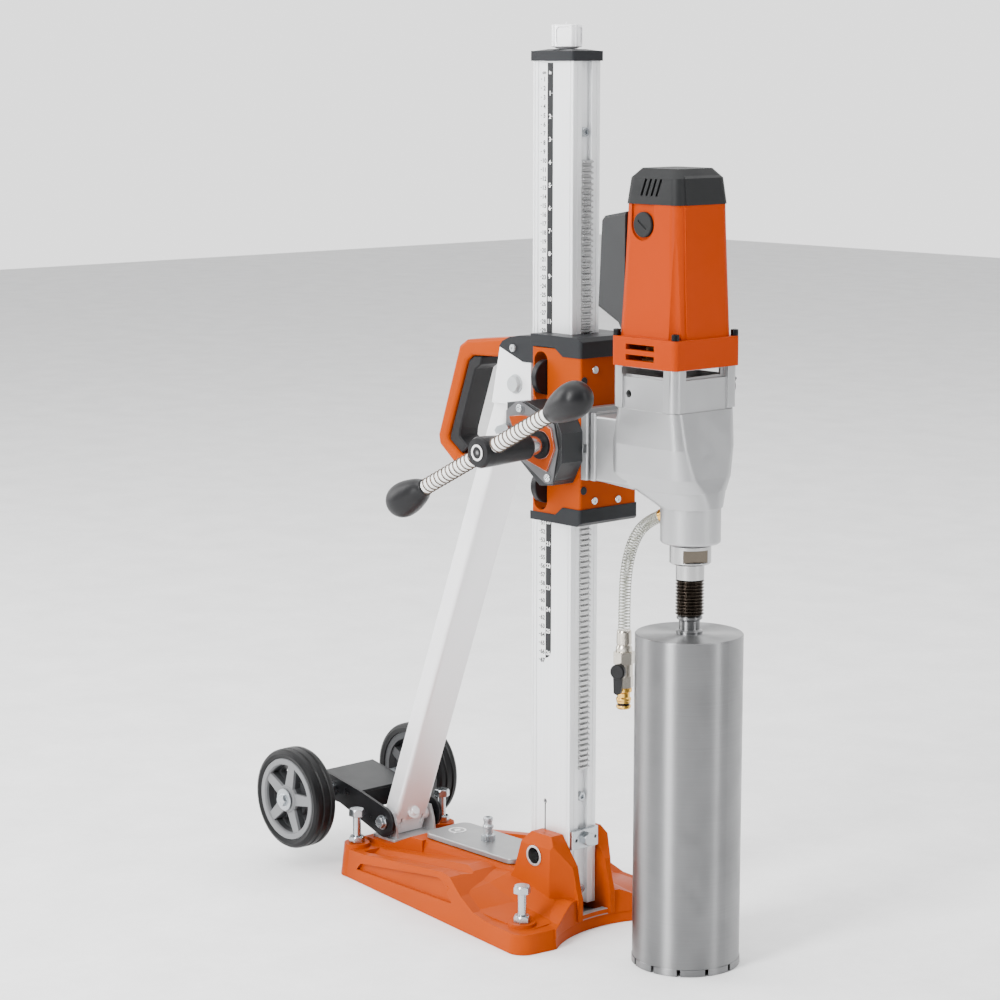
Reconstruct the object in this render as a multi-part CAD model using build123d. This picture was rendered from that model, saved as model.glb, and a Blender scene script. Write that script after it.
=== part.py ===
"""Core drill rig: a tilting column stand with a geared drill motor and a diamond core bit.

Frame: millimetres, +Z up, floor at Z = 0, column centre line at X = 0, Y = 0 when upright.
+X points from the transport wheels towards the core bit.  The feed handle is on the -Y side.
"""
from build123d import *
import os
from math import acos, atan2, ceil, cos, degrees, hypot, pi, radians, sin, sqrt, tan

# ---------------------------------------------------------------- column
COLUMN_X = 32.7                 # half depth of the extrusion
COLUMN_Y = 21.25                # half width
COLUMN_BOTTOM = 24.0
COLUMN_TOP = 989.0
PIVOT_Z = 84.0                  # tilt pivot, on the column centre line
PIVOT_R = 12.2                  # hollow pivot tube
PIVOT_BORE = 9.5
RUNNING = 0.05                  # radial clearance of a running fit
SLIDE_GAP = 0.35                # clearance of a sliding guide

# ---------------------------------------------------------------- rack and feed gears
RACK_MODULE = 2.0
PINION_TEETH = 12
PINION_X = 46.6
PINION_Z = 570.7
RACK_BOTTOM = 183.0
RACK_TEETH = 111
RACK_HALF_WIDTH = 7.4
REDUCTION_MODULE = 1.5
REDUCTION_GEAR_TEETH = 28
REDUCTION_PINION_TEETH = 16

# ---------------------------------------------------------------- carriage
CARRIAGE_BACK = -8.0
CARRIAGE_FRONT = 71.0
CARRIAGE_Y = 44.0
CARRIAGE_BOTTOM = 486.0
CARRIAGE_TOP = 673.0
ROLLER_R = 19.8
ROLLER_X = (8.0, 16.5)
ROLLER_HEIGHTS = (517.5, 639.8)
ROLLER_AXLE_R = 2.05
ROLLER_SLOT = (-4.0, 17.6)
ROLLER_SLOT_LENGTH = 57.0

# ---------------------------------------------------------------- feed handle
HANDLE_Y = -162.3
HANDLE_ANGLE = 26.7
KNOB_CENTRE = 145.6
HUB_Y = (-174.8, -101.5)

# ---------------------------------------------------------------- gearbox, motor and spindle
SPINDLE_X = 199.0
MOTOR_X = 173.0
GEARBOX_BACK = 125.0
GEARBOX_FRONT = 221.0
GEARBOX_Y = 49.5
FLANGE_Z = (664.0, 696.0)
MOTOR_TOP = 838.0
CAP_TOP = 876.0
NOSE_R = 33.1
NOSE_Z = (472.0, 513.0)
STAGE_ONE = (1.0, 10, 36)       # module, armature pinion teeth, lay gear teeth
STAGE_TWO = (1.25, 12, 36)      # module, lay pinion teeth, spindle gear teeth

# ---------------------------------------------------------------- core bit
BIT_R = 59.5
BIT_WALL = 2.6
BIT_TOP = 371.8
SEGMENT_TOP = 7.5
SEGMENT_COUNT = 12

# ---------------------------------------------------------------- base
BASE_REAR = -320.0
ARC_R = 146.5                   # front edge of the base, concentric with the core bit
SLOT_Y = 21.8
SILL_Z = 19.4
REAR_BOLT = (-296.0, 69.0, 39.5)
FRONT_BOLT = (41.0, 102.0, 27.0)
COVER_X = (-211.0, -51.0)
COVER_Y = 34.2
COVER_Z = (58.5, 64.5)

# ---------------------------------------------------------------- strut and wheels
FOOT_X = -281.0
FOOT_Z = 62.3
STRUT_SLOPE = 0.383             # X per Z along the strut's front face
STRUT_FACE_X = -297.5           # front face carried down to the floor
STRUT_Y = 25.5
STRUT_DEPTH = 25.0
HEAD_X = -43.4                  # upper pivot
HEAD_Z = 626.6
WHEEL_X = -378.6
WHEEL_Z = 84.9
WHEEL_R = 62.4
WHEEL_Y = (83.2, 115.5)

# ---------------------------------------------------------------- water hose
HOSE_R = 7.0
VALVE_X = 98.0
HOSE_ROUTE = [
    (155.0, 0.0, 496.0), (133.0, 0.0, 487.0), (113.0, 0.0, 466.0), (102.0, 0.0, 437.0),
    (98.0, 0.0, 404.0), (98.0, 0.0, 358.8),
]

NODES = {}


# ================================================================ helpers
def block(x, y, z):
    """A box between the given (low, high) pairs."""
    size = [high - low for low, high in (x, y, z)]
    centre = [(high + low) / 2 for low, high in (x, y, z)]
    return Pos(*centre) * Box(*size)


def rod_x(y, z, x, r):
    return Pos((x[0] + x[1]) / 2, y, z) * Rot(0, 90, 0) * Cylinder(r, x[1] - x[0])


def rod_y(x, z, y, r):
    return Pos(x, (y[0] + y[1]) / 2, z) * Rot(90, 0, 0) * Cylinder(r, y[1] - y[0])


def rod_z(x, y, z, r):
    return Pos(x, y, (z[0] + z[1]) / 2) * Cylinder(r, z[1] - z[0])


def outline(points, corner=0.0):
    """A flat face through the points, always facing up, with rounded corners if asked."""
    area = sum(a[0] * b[1] - b[0] * a[1] for a, b in zip(points, points[1:] + points[:1]))
    face = Polygon(*(points if area > 0 else points[::-1]), align=None)
    if corner:
        face = fillet(face.vertices(), corner)
    return face


def profile_xz(points, y, corner=0.0):
    """An outline in X and Z, extruded between two Y values."""
    plane = Plane(origin=(0, y[1], 0), x_dir=(1, 0, 0), z_dir=(0, -1, 0))
    return extrude(plane * outline(points, corner), y[1] - y[0])


def profile_yz(points, x, corner=0.0):
    """An outline in Y and Z, extruded between two X values."""
    plane = Plane(origin=(x[0], 0, 0), x_dir=(0, 1, 0), z_dir=(1, 0, 0))
    return extrude(plane * outline(points, corner), x[1] - x[0])


def profile_xy(points, z, corner=0.0):
    """An outline in X and Y, extruded between two Z values."""
    return extrude(Pos(0, 0, z[0]) * outline(points, corner), z[1] - z[0])


def rounded_block(x, y, z, corner):
    """A box whose upright edges are rounded."""
    width, depth = x[1] - x[0], y[1] - y[0]
    face = Pos((x[0] + x[1]) / 2, (y[0] + y[1]) / 2, z[0]) * RectangleRounded(width, depth, corner)
    return extrude(face, z[1] - z[0])


def both_sides(shape):
    """The shape and its mirror image across the plane Y = 0."""
    return shape + mirror(shape, about=Plane.XZ)


def hex_head(size, height):
    """A hexagon across flats with a light crown, standing on Z = 0."""
    body = extrude(RegularPolygon(size / sqrt(3), 6), height)
    crown = Pos(0, 0, height / 2) * Cone(size / sqrt(3) + height * 0.45, size / 2 * 0.97, height)
    return body & crown


def socket_head(r, height, key):
    """A round screw head with a hexagon socket, standing on Z = 0."""
    head = Pos(0, 0, height / 2) * Cylinder(r, height)
    head = chamfer(head.edges().group_by(Axis.Z)[-1], r * 0.14)
    socket = Pos(0, 0, height * 0.45) * extrude(RegularPolygon(key / sqrt(3), 6), height)
    return head - socket


def turned(points):
    """A solid of revolution about Z from (radius, height) points."""
    return revolve(Plane.XZ * Polygon(*points, align=None), Axis.Z)


def turned_y(points, x, z):
    """A solid of revolution about a line along Y from (radius, y) points."""
    return Pos(x, 0, z) * Rot(-90, 0, 0) * turned(points)


def gear(module, teeth, width, bore, phase=0.0):
    """A spur gear with straight flanks and a little backlash, standing on Z = 0."""
    pitch_r = module * teeth / 2
    tip_r = pitch_r + 0.85 * module
    root_r = pitch_r - 1.15 * module
    pitch_angle = 2 * pi / teeth
    half_pitch = 0.235 * pitch_angle
    half_tip = half_pitch - 0.85 * module * tan(radians(19)) / pitch_r
    half_root = half_pitch + 1.15 * module * tan(radians(13)) / pitch_r
    points = []
    for index in range(teeth):
        middle = radians(phase) + index * pitch_angle
        for r, angle in ((root_r, -half_root), (tip_r, -half_tip), (tip_r, half_tip), (root_r, half_root)):
            points.append((r * cos(middle + angle), r * sin(middle + angle)))
    face = Polygon(*points, align=None)
    if bore:
        face -= Circle(bore)
    return extrude(face, width)


def group(*shapes):
    """Separate solids that share one node."""
    return Compound(children=[solid for shape in shapes for solid in shape.solids()])


def add(name, shape):
    """Keep a finished sub-part under its node name."""
    NODES[name] = shape


# ================================================================ base
def side_line(x):
    """Half width of the base on its long side."""
    return 88.0 + 0.129 * (x + 298.0)


def base_outline(inset=0.0):
    """Floor outline of the base: a long tapered plate with a hollow front edge."""
    rear, front = side_line(BASE_REAR), side_line(72.0)
    half = [(BASE_REAR, rear), (72.0, front), (78.5, 88.0)]
    face = outline(half + [(x, -y) for x, y in half[::-1]])
    face = fillet(face.vertices().filter_by(lambda v: v.X < BASE_REAR + 1), 26)
    face = fillet(face.vertices().filter_by(lambda v: v.X > 60 and abs(v.Y) > 120), 20)
    face -= Pos(SPINDLE_X, 0) * Circle(ARC_R)
    if inset:
        face = offset(face, -inset)
    return face


def base_skin(height, taper):
    """The outline drawn up into a block with sloping walls."""
    return extrude(base_outline(), height, taper=taper)


def base_ear():
    """One of the two ears that carry the column pivot, on the -Y side."""
    side = [
        (-58, 30), (-44, 46), (-34, 60), (-22, 98), (-12, 109.5), (22, 109.5), (48, 77), (53, 54), (57, 40),
        (57, 14), (-58, 14),
    ]
    plan = [(-58, -SLOT_Y), (-58, -40), (-40, -46), (26, -46), (50, -29), (58, -29), (58, -SLOT_Y)]
    section = [(-60, 10), (-60, 40), (-46, 62), (-45.5, 96), (-38, 112), (-SLOT_Y, 112), (-SLOT_Y, 10)]
    ear = profile_xz(side, (-60, -SLOT_Y)) & profile_yz(section, (-60, 60))
    upper = profile_xy(plan, (10, 115))
    return ear & upper


def base_flank():
    """The saddle from an ear down to the front corner boss, on the -Y side."""
    inner = [(-78, 12), (-78, 51), (-46, 53.5), (2, 46), (57, 31), (57, 12)]
    middle = [(-78, 12), (-78, 46), (-50, 45), (-6, 33), (60, 24), (60, 12)]
    outer = [(-78, 12), (-78, 43), (-56, 38), (-26, 26), (60, 22.6), (60, 12)]
    faces = []
    for points, y in ((inner, -SLOT_Y), (inner, -44), (middle, -70), (outer, -112)):
        plane = Plane(origin=(0, y, 0), x_dir=(1, 0, 0), z_dir=(0, -1, 0))
        faces.append(plane * outline(points))
    flank = loft(faces[:2], ruled=True)
    for near, far in zip(faces[1:], faces[2:]):
        flank += loft([near, far], ruled=True)
    return flank


def base_casting():
    skin = base_skin(66, 7)
    spine = [
        (-330, 0), (-330, 31), (-314, 31), (-298, 34), (-262, 35), (-92, 56), (-74, 54), (-50, 38), (-22, 26),
        (6, 22.5), (90, 22.5), (90, 0),
    ]
    body = skin & profile_xz(spine, (-150, 150))
    valley = profile_yz([(-90, 80), (-82, 44), (-76, 32), (-62, 30), (-49, 38), (-40, 80)], (-262, -36))
    valley = Pos(-262, 0, 0) * Rot(0, -6.6, -4.5) * Pos(262, 0, 0) * valley
    body -= both_sides(valley)
    platform = profile_yz([(-52, 10), (-42, 50), (-39, 57.3), (39, 57.3), (42, 50), (52, 10)], (-222, -34))
    body += platform
    rear_pad = profile_xz([(-322, 8), (-318, 36), (-312, 39), (-262, 39), (-222, 57.3), (-200, 57.3), (-200, 8)],
                          (-45, 45))
    body += rear_pad & skin
    for x, y, top in (REAR_BOLT, FRONT_BOLT):
        boss = Pos(x, -y, top / 2) * Cone(17.5 + top * 0.06, 15.5, top)
        body += both_sides(boss)
    bridge = [(-84, 12), (-84, 22), (-72, 24), (-46, 36), (-38, 39.5), (38, 39.5), (46, 36), (72, 24), (84, 22),
              (84, 12)]
    front = base_skin(60, 2) & profile_yz(bridge, (24, 90))
    body += front
    body += both_sides(base_flank() & base_skin(80, 2))
    body += both_sides(base_ear())
    body = base_recesses(body)
    return body


def base_recesses(body):
    """The column slot, the vacuum chamber, the long side grooves and every hole of the base."""
    body -= block((-48, 90), (-SLOT_Y, SLOT_Y), (SILL_Z, 140))
    body -= block((-58, 44), (-SLOT_Y, SLOT_Y), (13.5, 140))
    rear_side = profile_xz([(-58, 40), (-58, 140), (-20, 140), (-34, 66)], (-SLOT_Y, SLOT_Y))
    body -= rear_side
    chamber = extrude(base_outline(20), 22) & block((-330, -78), (-120, 120), (0, 22))
    body -= chamber
    body -= extrude(base_outline(7), 3.2) - extrude(base_outline(15), 3.2)
    groove = profile_xz([(-272, 14), (-264, 23), (-98, 48), (-86, 45), (-66, 25)], (-150, 150))
    rim = base_skin(66, 7) - extrude(base_outline(4.5), 66, taper=7)
    body -= groove & rim
    body -= rod_y(0, PIVOT_Z, (-60, 60), PIVOT_R + 0.02)
    body -= rod_z(-130.8, 0, (20, 70), 7)
    body -= block((-196, -74), (-26, 26), (20, 70))
    for x, y, top in (REAR_BOLT, FRONT_BOLT):
        for side in (-1, 1):
            body -= rod_z(x, side * y, (-1, top + 1), 5.05)
    for side in (-1, 1):
        body -= rod_z(FOOT_X - 8, side * 20, (24, 60), 3.02)
    return body


def base_seals():
    """Floor seal in its groove under the base and the gasket under the vacuum cover."""
    floor_seal = extrude(base_outline(7.6), 2.9) - extrude(base_outline(14.4), 2.9)
    floor_seal = Pos(0, 0, 0.2) * floor_seal
    for x, y, top in (REAR_BOLT, FRONT_BOLT):
        for side in (-1, 1):
            floor_seal -= rod_z(x, side * y, (-1, 5), 5.6)
    x = (COVER_X[0] + 1.5, COVER_X[1] - 1.5)
    y = (-COVER_Y + 1.5, COVER_Y - 1.5)
    gasket = rounded_block(x, y, (57.4, COVER_Z[0] - 0.1), 11)
    gasket -= block((-196, -74), (-26, 26), (50, 70))
    return floor_seal + gasket


def vacuum_cover():
    plate = rounded_block(COVER_X, (-COVER_Y, COVER_Y), COVER_Z, 12)
    plate = fillet(plate.edges().group_by(Axis.Z)[-1], 1.6)
    badge = rod_z(-187.0, 0, (64.0, 65.1), 11.0) - rod_z(-187.0, 0, (60.0, 66.0), 8.6)
    badge += rod_z(-187.0, 0, (64.0, 65.1), 4.0)
    return plate + badge - rod_z(-130.8, 0, (50, 70), 6.02)


def vacuum_nipple():
    """Screwed quick-coupling nipple on the vacuum cover."""
    body = turned([
        (3.0, 50), (6.0, 50), (6.0, 64.6), (8.2, 64.6), (8.2, 71.5), (5.4, 72.5), (5.4, 79.5), (6.6, 80.5),
        (6.6, 82.5), (5.0, 84.5), (5.0, 88), (5.8, 89), (5.8, 92.4), (5.0, 93.4), (3.0, 93.4),
    ])
    hexagon = Pos(0, 0, 64.6) * extrude(RegularPolygon(8.8, 6), 6.8) - Cylinder(3, 400)
    return Pos(-130.8, 0, 0) * (body + hexagon)


def levelling_screw(x, y, top):
    """Hex screw with a blunt point, its tip just inside the base."""
    lift = 25.5 if x > 0 else 25.0
    head = Pos(0, 0, top + 8.2 + lift) * hex_head(17, 9)
    shank = rod_z(0, 0, (6, top + 8.4 + lift), 4.95)
    point = Pos(0, 0, 4.5) * Cone(2.6, 4.95, 3)
    return Pos(x, y, 0) * (head + shank + point)


def base_fasteners():
    """Lock nuts of the levelling screws, and the two bolts and the pivot bolt of the strut foot."""
    nut = Pos(0, 0, 0) * hex_head(17, 8) - Cylinder(5.05, 40)
    shape = None
    for x, y, top in (REAR_BOLT, FRONT_BOLT):
        for side in (-1, 1):
            piece = Pos(x, side * y, top + 0.05) * nut
            shape = piece if shape is None else shape + piece
    for side in (-1, 1):
        head = Pos(0, 0, 40.1) * socket_head(5.2, 1.8, 4)
        bolt = head + rod_z(0, 0, (26, 40.2), 3)
        shape += Pos(FOOT_X - 8, side * 20, 0) * bolt
    pin = rod_y(FOOT_X, FOOT_Z, (-41.5, 41.5), 6.0)
    washer = Pos(FOOT_X, 0, FOOT_Z) * both_sides(rod_y(0, 0, (-42.2, -40.1), 9.0))
    nuts = Pos(FOOT_X, 0, FOOT_Z) * both_sides(Pos(0, -42.2, 0) * Rot(90, 0, 0) * hex_head(13, 4.2))
    return shape + (pin + washer + nuts)


def pivot_axle():
    """Hollow tube that the column tilts on, with a collar at each end."""
    tube = rod_y(0, PIVOT_Z, (-46.8, 46.8), PIVOT_R)
    return tube - rod_y(0, PIVOT_Z, (-60, 60), PIVOT_BORE)


def strut_foot():
    """Bent sheet bracket on the rear of the base that the strut turns in."""
    plate = block((-306, -262), (-36.5, 36.5), (39.1, 42.0))
    plate = fillet(plate.edges().filter_by(Axis.Z), 4)
    ear_side = [(-302, 40), (-300, 58), (FOOT_X - 9, 74), (FOOT_X + 9, 74), (-266, 58), (-264, 40)]
    ear = profile_xz(ear_side, (-31.5, -28.5))
    foot = plate + both_sides(ear)
    foot -= rod_y(FOOT_X, FOOT_Z, (-40, 40), 6.03)
    for side in (-1, 1):
        foot -= rod_z(FOOT_X - 8, side * 20, (30, 50), 3.1)
        foot -= rod_z(FOOT_X - 8, side * 20, (40.05, 50), 5.25)
    return foot


def wheel_bracket():
    """Black bent sheet frame: two side arms joined by a top plate, carrying the wheel axle."""
    tip = rod_y(FOOT_X, FOOT_Z, (-40, -36.2), 19.0)
    arm_side = [
        (FOOT_X + 5.0, FOOT_Z + 18.3), (-326, 92.5), (-398, 105), (-402, 96), (-398, 70), (-366, 69.5),
        (FOOT_X - 4, FOOT_Z - 18.6),
    ]
    arm = profile_xz(arm_side, (-40, -36.2)) + tip
    arms = both_sides(arm)
    top_side = [(-326, 89.3), (-326, 92.5), (-398, 105), (-398, 101.8)]
    bridge = profile_xz(top_side, (-38, 38))
    panel = profile_xz([(-326, 92.5), (-329.2, 92.8), (-333, 66), (-329.8, 66)], (-38, 38))
    frame = arms + bridge + panel
    frame -= rod_y(FOOT_X, FOOT_Z, (-60, 60), 6.03)
    frame -= rod_y(WHEEL_X, WHEEL_Z, (-60, 60), 6.03)
    return frame


def wheel_axle():
    """Wheel axle with its spacers and the retaining washers and bolts at both ends."""
    shape = rod_y(WHEEL_X, WHEEL_Z, (-118, 118), 6.0)
    spacer = rod_y(WHEEL_X, WHEEL_Z, (-81.5, -40.2), 9.0)
    washer = turned_y([(0, -117.2), (13.5, -117.2), (13.5, -118.6), (8.8, -119.2), (0, -119.2)], WHEEL_X, WHEEL_Z)
    bolt = Pos(WHEEL_X, -119.1, WHEEL_Z) * Rot(90, 0, 0) * hex_head(14, 5)
    return shape + both_sides(spacer + washer + bolt)


def wheel_rim(side):
    """Five-spoke plastic rim on one side."""
    y = WHEEL_Y
    felloe = turned_y([
        (42.6, y[0] + 3), (51.2, y[0] + 3), (51.2, y[1] - 3), (50.2, y[1] - 0.6), (44.0, y[1] - 0.6),
        (42.6, y[1] - 3),
    ], 0, 0)
    web = turned_y([(8, 97.5), (44, 97.5), (44, 101.0), (8, 101.0)], 0, 0)
    hub = turned_y([
        (6.0 + RUNNING, y[0]), (14.5, y[0]), (17.5, 100), (17.5, y[1] - 3), (16.0, y[1] - 0.5),
        (6.0 + RUNNING, y[1] - 0.5),
    ], 0, 0)
    rim = felloe + web + hub
    for index in range(5):
        spoke = profile_xz([(-7.5, 14), (-5.6, 44), (5.6, 44), (7.5, 14)], (y[0] + 5, y[1] - 2.5))
        rim += Rot(0, 72 * index + 12, 0) * spoke
    for index in range(5):
        window = profile_xz([(-9, 23), (-14.5, 36), (-10, 40), (0, 42), (10, 40), (14.5, 36), (9, 23)], (90, 106))
        rim -= Rot(0, 72 * index + 48, 0) * window
    rim -= rod_y(0, 0, (60, 130), 6.0 + RUNNING)
    rim = Pos(WHEEL_X, 0, WHEEL_Z) * rim
    return rim if side > 0 else mirror(rim, about=Plane.XZ)


def wheel_tyre(side):
    """Rubber tyre with two grooves and rounded shoulders."""
    y0, y1 = WHEEL_Y
    middle = (y0 + y1) / 2
    points = [(51.22, y0 + 1.5), (56.5, y0), (60.2, y0 + 1.4), (61.9, y0 + 4.5)]
    for centre in (middle - 5.4, middle + 5.4):
        points += [(62.4, centre - 2.2), (60.6, centre - 1.0), (60.6, centre + 1.0), (62.4, centre + 2.2)]
    points += [(61.9, y1 - 4.5), (60.2, y1 - 1.4), (56.5, y1), (51.22, y1 - 1.5)]
    tyre = turned_y(points, WHEEL_X, WHEEL_Z)
    return tyre if side > 0 else mirror(tyre, about=Plane.XZ)


# ================================================================ column
def column_tube():
    """Aluminium extrusion with a rack groove in front, a T-slot behind and recessed sides."""
    section = Rectangle(2 * COLUMN_X, 2 * COLUMN_Y)
    section = fillet(section.vertices(), 1.6)
    section -= Pos(COLUMN_X, 0) * Rectangle(12.0, 15.2)
    section -= Pos(-COLUMN_X, 0) * Rectangle(12.0, 15.2)
    section -= Pos(-COLUMN_X + 4.4, 0) * Rectangle(4.0, 23.0)
    for side in (-1, 1):
        section -= Pos(0, side * COLUMN_Y) * Rectangle(48.0, 1.2)
        for x in (-28.6, 28.6):
            section -= Pos(x, side * COLUMN_Y) * Rectangle(1.2, 1.0)
        for y in (-14.5, 14.5):
            section -= Pos(COLUMN_X, y) * Rectangle(0.9, 1.2)
    chamber = Rectangle(42.0, 33.5)
    section -= fillet(chamber.vertices(), 3)
    tube = extrude(Pos(0, 0, COLUMN_BOTTOM) * section, COLUMN_TOP - COLUMN_BOTTOM)
    tube -= rod_y(0, PIVOT_Z, (-60, 60), PIVOT_R + RUNNING)
    tube -= block((-9.3, -7.7), (-30, 0), (0, 142.5))
    tube -= rod_y(-8.5, 142.5, (-30, 0), 2.6)
    for z in (911.0, 152.0, 42.0):
        tube -= rod_x(0, z, (15, 40), 3.0)
    tube -= rod_x(1.0, 103.5, (15, 40), 4.0)
    return tube


def rack():
    """Toothed bar in the column's front groove; its teeth point forward."""
    pitch = pi * RACK_MODULE
    pitch_x = PINION_X - RACK_MODULE * PINION_TEETH / 2
    tip = pitch_x + 0.9 * RACK_MODULE
    root = pitch_x - 1.15 * RACK_MODULE
    half = 0.235 * pitch
    half_tip = half - 0.9 * RACK_MODULE * tan(radians(20))
    half_root = half + 1.15 * RACK_MODULE * tan(radians(16))
    back = COLUMN_X - 5.95
    offset_z = (PINION_Z - RACK_BOTTOM) % pitch
    points = [(back, RACK_BOTTOM)]
    for index in range(RACK_TEETH):
        z = RACK_BOTTOM + offset_z + index * pitch
        points += [(root, z - half_root), (tip, z - half_tip), (tip, z + half_tip), (root, z + half_root)]
    points.append((back, points[-1][1]))
    points[0] = (back, points[1][1])
    return profile_xz(points, (-RACK_HALF_WIDTH, RACK_HALF_WIDTH))


def column_screws():
    """Screws in the column's front groove and the bolt of the stop plate."""
    shape = None
    for z in (911.0, 152.0, 42.0):
        head = Pos(COLUMN_X - 5.9, 0, z) * Rot(0, 90, 0) * socket_head(5.4, 5.0, 5)
        screw = head + rod_x(0, z, (18, COLUMN_X - 5.6), 2.95)
        shape = screw if shape is None else shape + screw
    head = Pos(38.1, 1.0, 103.5) * Rot(0, 90, 0) * hex_head(14.5, 6.5)
    return shape + head + rod_x(1.0, 103.5, (20, 38.3), 3.95)


def scale_label():
    """Thin graduated strip stuck on the -Y side of the column."""
    y = (-COLUMN_Y + 0.31, -COLUMN_Y + 0.58)
    return block((-20.0, 0.0), y, (322.0, 987.0)) + rod_y(-10.0, 322.0, y, 10.0)


def column_cap():
    """Moulded end cap with a low dome and the seat of the jack screw."""
    cap = rounded_block((-35.1, 35.1), (-24.2, 24.2), (COLUMN_TOP + 0.05, 1000.0), 4)
    dome = Pos(0, 0, 1000.0) * loft([
        Pos(0, 0, 0) * RectangleRounded(66, 44, 4), Pos(0, 0, 2.0) * RectangleRounded(40, 26, 6),
    ])
    plug = rounded_block((-20.6, 20.6), (-16.4, 16.4), (974.0, COLUMN_TOP + 0.2), 3)
    cap = cap + dome + plug
    return cap - rod_z(0, 0, (960, 1010), 9.05)


def stop_plate():
    """Steel stop that keeps the carriage off the base."""
    plate = block((COLUMN_X + 0.05, 38.0), (-20.7, 20.7), (93.0, 115.0))
    plate = chamfer(plate.edges().filter_by(Axis.Z).group_by(Axis.X)[-1], 1.2)
    plate -= rod_x(1.0, 103.5, (20, 45), 4.0)
    for y in (-14.5, 15.5):
        plate -= rod_x(y, 103.5, (20, 45), 2.0)
    return plate


JACK_TURN = 33.0                # how far the jack head's flats are turned


def jack_screw():
    """Ceiling jack: a wide head with wrench flats and a point, on a screw in the cap."""
    head = rounded_block((-15.4, 15.4), (-15.4, 15.4), (1004.0, 1029.0), 7)
    head = chamfer(head.edges().group_by(Axis.Z)[-1] + head.edges().group_by(Axis.Z)[0], 0.9)
    panel = Pos(15.8, 0, 1016.5) * Rot(0, 90, 0) * extrude(RectangleRounded(19, 17, 4), 1.6, both=True)
    for turn in range(4):
        head -= Rot(0, 0, 90 * turn) * panel
    head = Rot(0, 0, JACK_TURN) * head
    neck = Pos(0, 0, 1003.2) * Cone(11.0, 14.5, 1.7)
    shaft = rod_z(0, 0, (905.0, 1002.6), 9.0)
    tip = Pos(0, 0, 1030.4) * Cone(2.4, 0.5, 3.0)
    return head + neck + shaft + tip


# ================================================================ strut
def strut_x(z, back=False):
    """X of the strut's front or rear face at a height."""
    x = STRUT_FACE_X + STRUT_SLOPE * z
    return x - STRUT_DEPTH * sqrt(1 + STRUT_SLOPE ** 2) if back else x


def strut_tube():
    """Rectangular tube, rounded about the foot bolt, with cheeks for the upper pivot."""
    side = [(strut_x(30), 30), (strut_x(640), 640), (strut_x(648, True) + 8, 648), (strut_x(640, True), 640),
            (strut_x(30, True), 30)]
    tube = profile_xz(side, (-STRUT_Y, STRUT_Y))
    long_edges = [e for e in tube.edges() if e.length > 500]
    tube = fillet(long_edges, 4.8)
    inner = [(strut_x(0) - 2.8, 0), (strut_x(630) - 2.8, 630), (strut_x(630, True) + 2.8, 630),
             (strut_x(0, True) + 2.8, 0)]
    tube -= profile_xz(inner, (-STRUT_Y + 2.6, STRUT_Y - 2.6))
    below = block((-400, -200), (-40, 40), (0, FOOT_Z))
    tube -= below - rod_y(FOOT_X, FOOT_Z, (-40, 40), 19.3)
    boss = rod_y(FOOT_X, FOOT_Z, (-STRUT_Y - 2.6, STRUT_Y + 2.6), 7.6)
    tube = tube + boss
    tube -= rod_y(FOOT_X, FOOT_Z, (-60, 60), 6.0 + RUNNING)
    cheek_side = [(strut_x(600) + 1, 600), (HEAD_X - 2, HEAD_Z - 14), (HEAD_X - 2, HEAD_Z + 14),
                  (strut_x(650, True) + 14, 650), (strut_x(600, True) + 4, 600)]
    cheek = profile_xz(cheek_side, (-STRUT_Y - 3.2, -STRUT_Y + 0.4)) + rod_y(
        HEAD_X, HEAD_Z, (-STRUT_Y - 3.2, -STRUT_Y + 0.4), 14.0)
    cheek -= rod_y(HEAD_X, HEAD_Z, (-40, 0), 6.5)
    tube += both_sides(cheek)
    for y in (-16.0, 17.0):
        tube -= block((-300, strut_x(60) + 6), (y - 1.4, y + 1.4), (50, 64))
    tilt = Rot(0, 90 - degrees(atan2(STRUT_SLOPE, 1)), 0)
    tube -= Pos(strut_x(71), 0, 71) * tilt * Cylinder(2.95, 16)
    return tube


def strut_screw():
    """Hex screw with its washer on the strut's front face, above the foot."""
    seat = Pos(strut_x(71), 0, 71) * Rot(0, 90 - degrees(atan2(STRUT_SLOPE, 1)), 0)
    washer = Pos(0, 0, 0.8) * Cylinder(9.0, 1.5)
    head = Pos(0, 0, 1.5) * hex_head(10, 4.5)
    shank = Pos(0, 0, -3) * Cylinder(2.9, 8)
    return seat * (washer + head + shank)


def carry_handle():
    """Loop handle behind the upper end of the strut, on the strut's rear face."""
    outer = [(-60, 678), (-150, 668), (-163, 660), (-201, 551), (-199, 540), (-166, 515), (-100, 531)]
    inner = [(-50, 654), (-140, 650), (-150, 643), (-184, 552), (-183, 546), (-160, 531), (-90, 548)]
    loop = profile_xz(outer, (-18, 18), corner=7) - profile_xz(inner, (-20, 20), corner=4)
    rear = [e for e in loop.edges() if e.center().X < -145 and abs(abs(e.center().Y) - 18) < 0.1]
    loop = fillet(rear, 4.5)
    front = [(strut_x(400, True), 400), (strut_x(760, True), 760), (60, 760), (60, 400)]
    loop -= block((-73.0, 60), (-60, 60), (640, 760))
    return loop - profile_xz([(x - 0.05, z) for x, z in front], (-60, 60))


def carry_grip():
    """Soft grip that lines the inside of the loop handle."""
    outer = [(-138, 649.9), (-147.9, 644), (-181.9, 552), (-181.9, 546), (-161, 532.2)]
    inner = [(-149, 541), (-165, 552), (-164, 560), (-137, 634), (-128, 640), (-126, 649.9)]
    grip = profile_xz(outer + inner, (-15, 15), corner=1.8)
    edges = [e for e in grip.edges() if abs(abs(e.center().Y) - 15) < 0.1 and e.center().X > -160]
    return chamfer(edges, 1.5)


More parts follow.
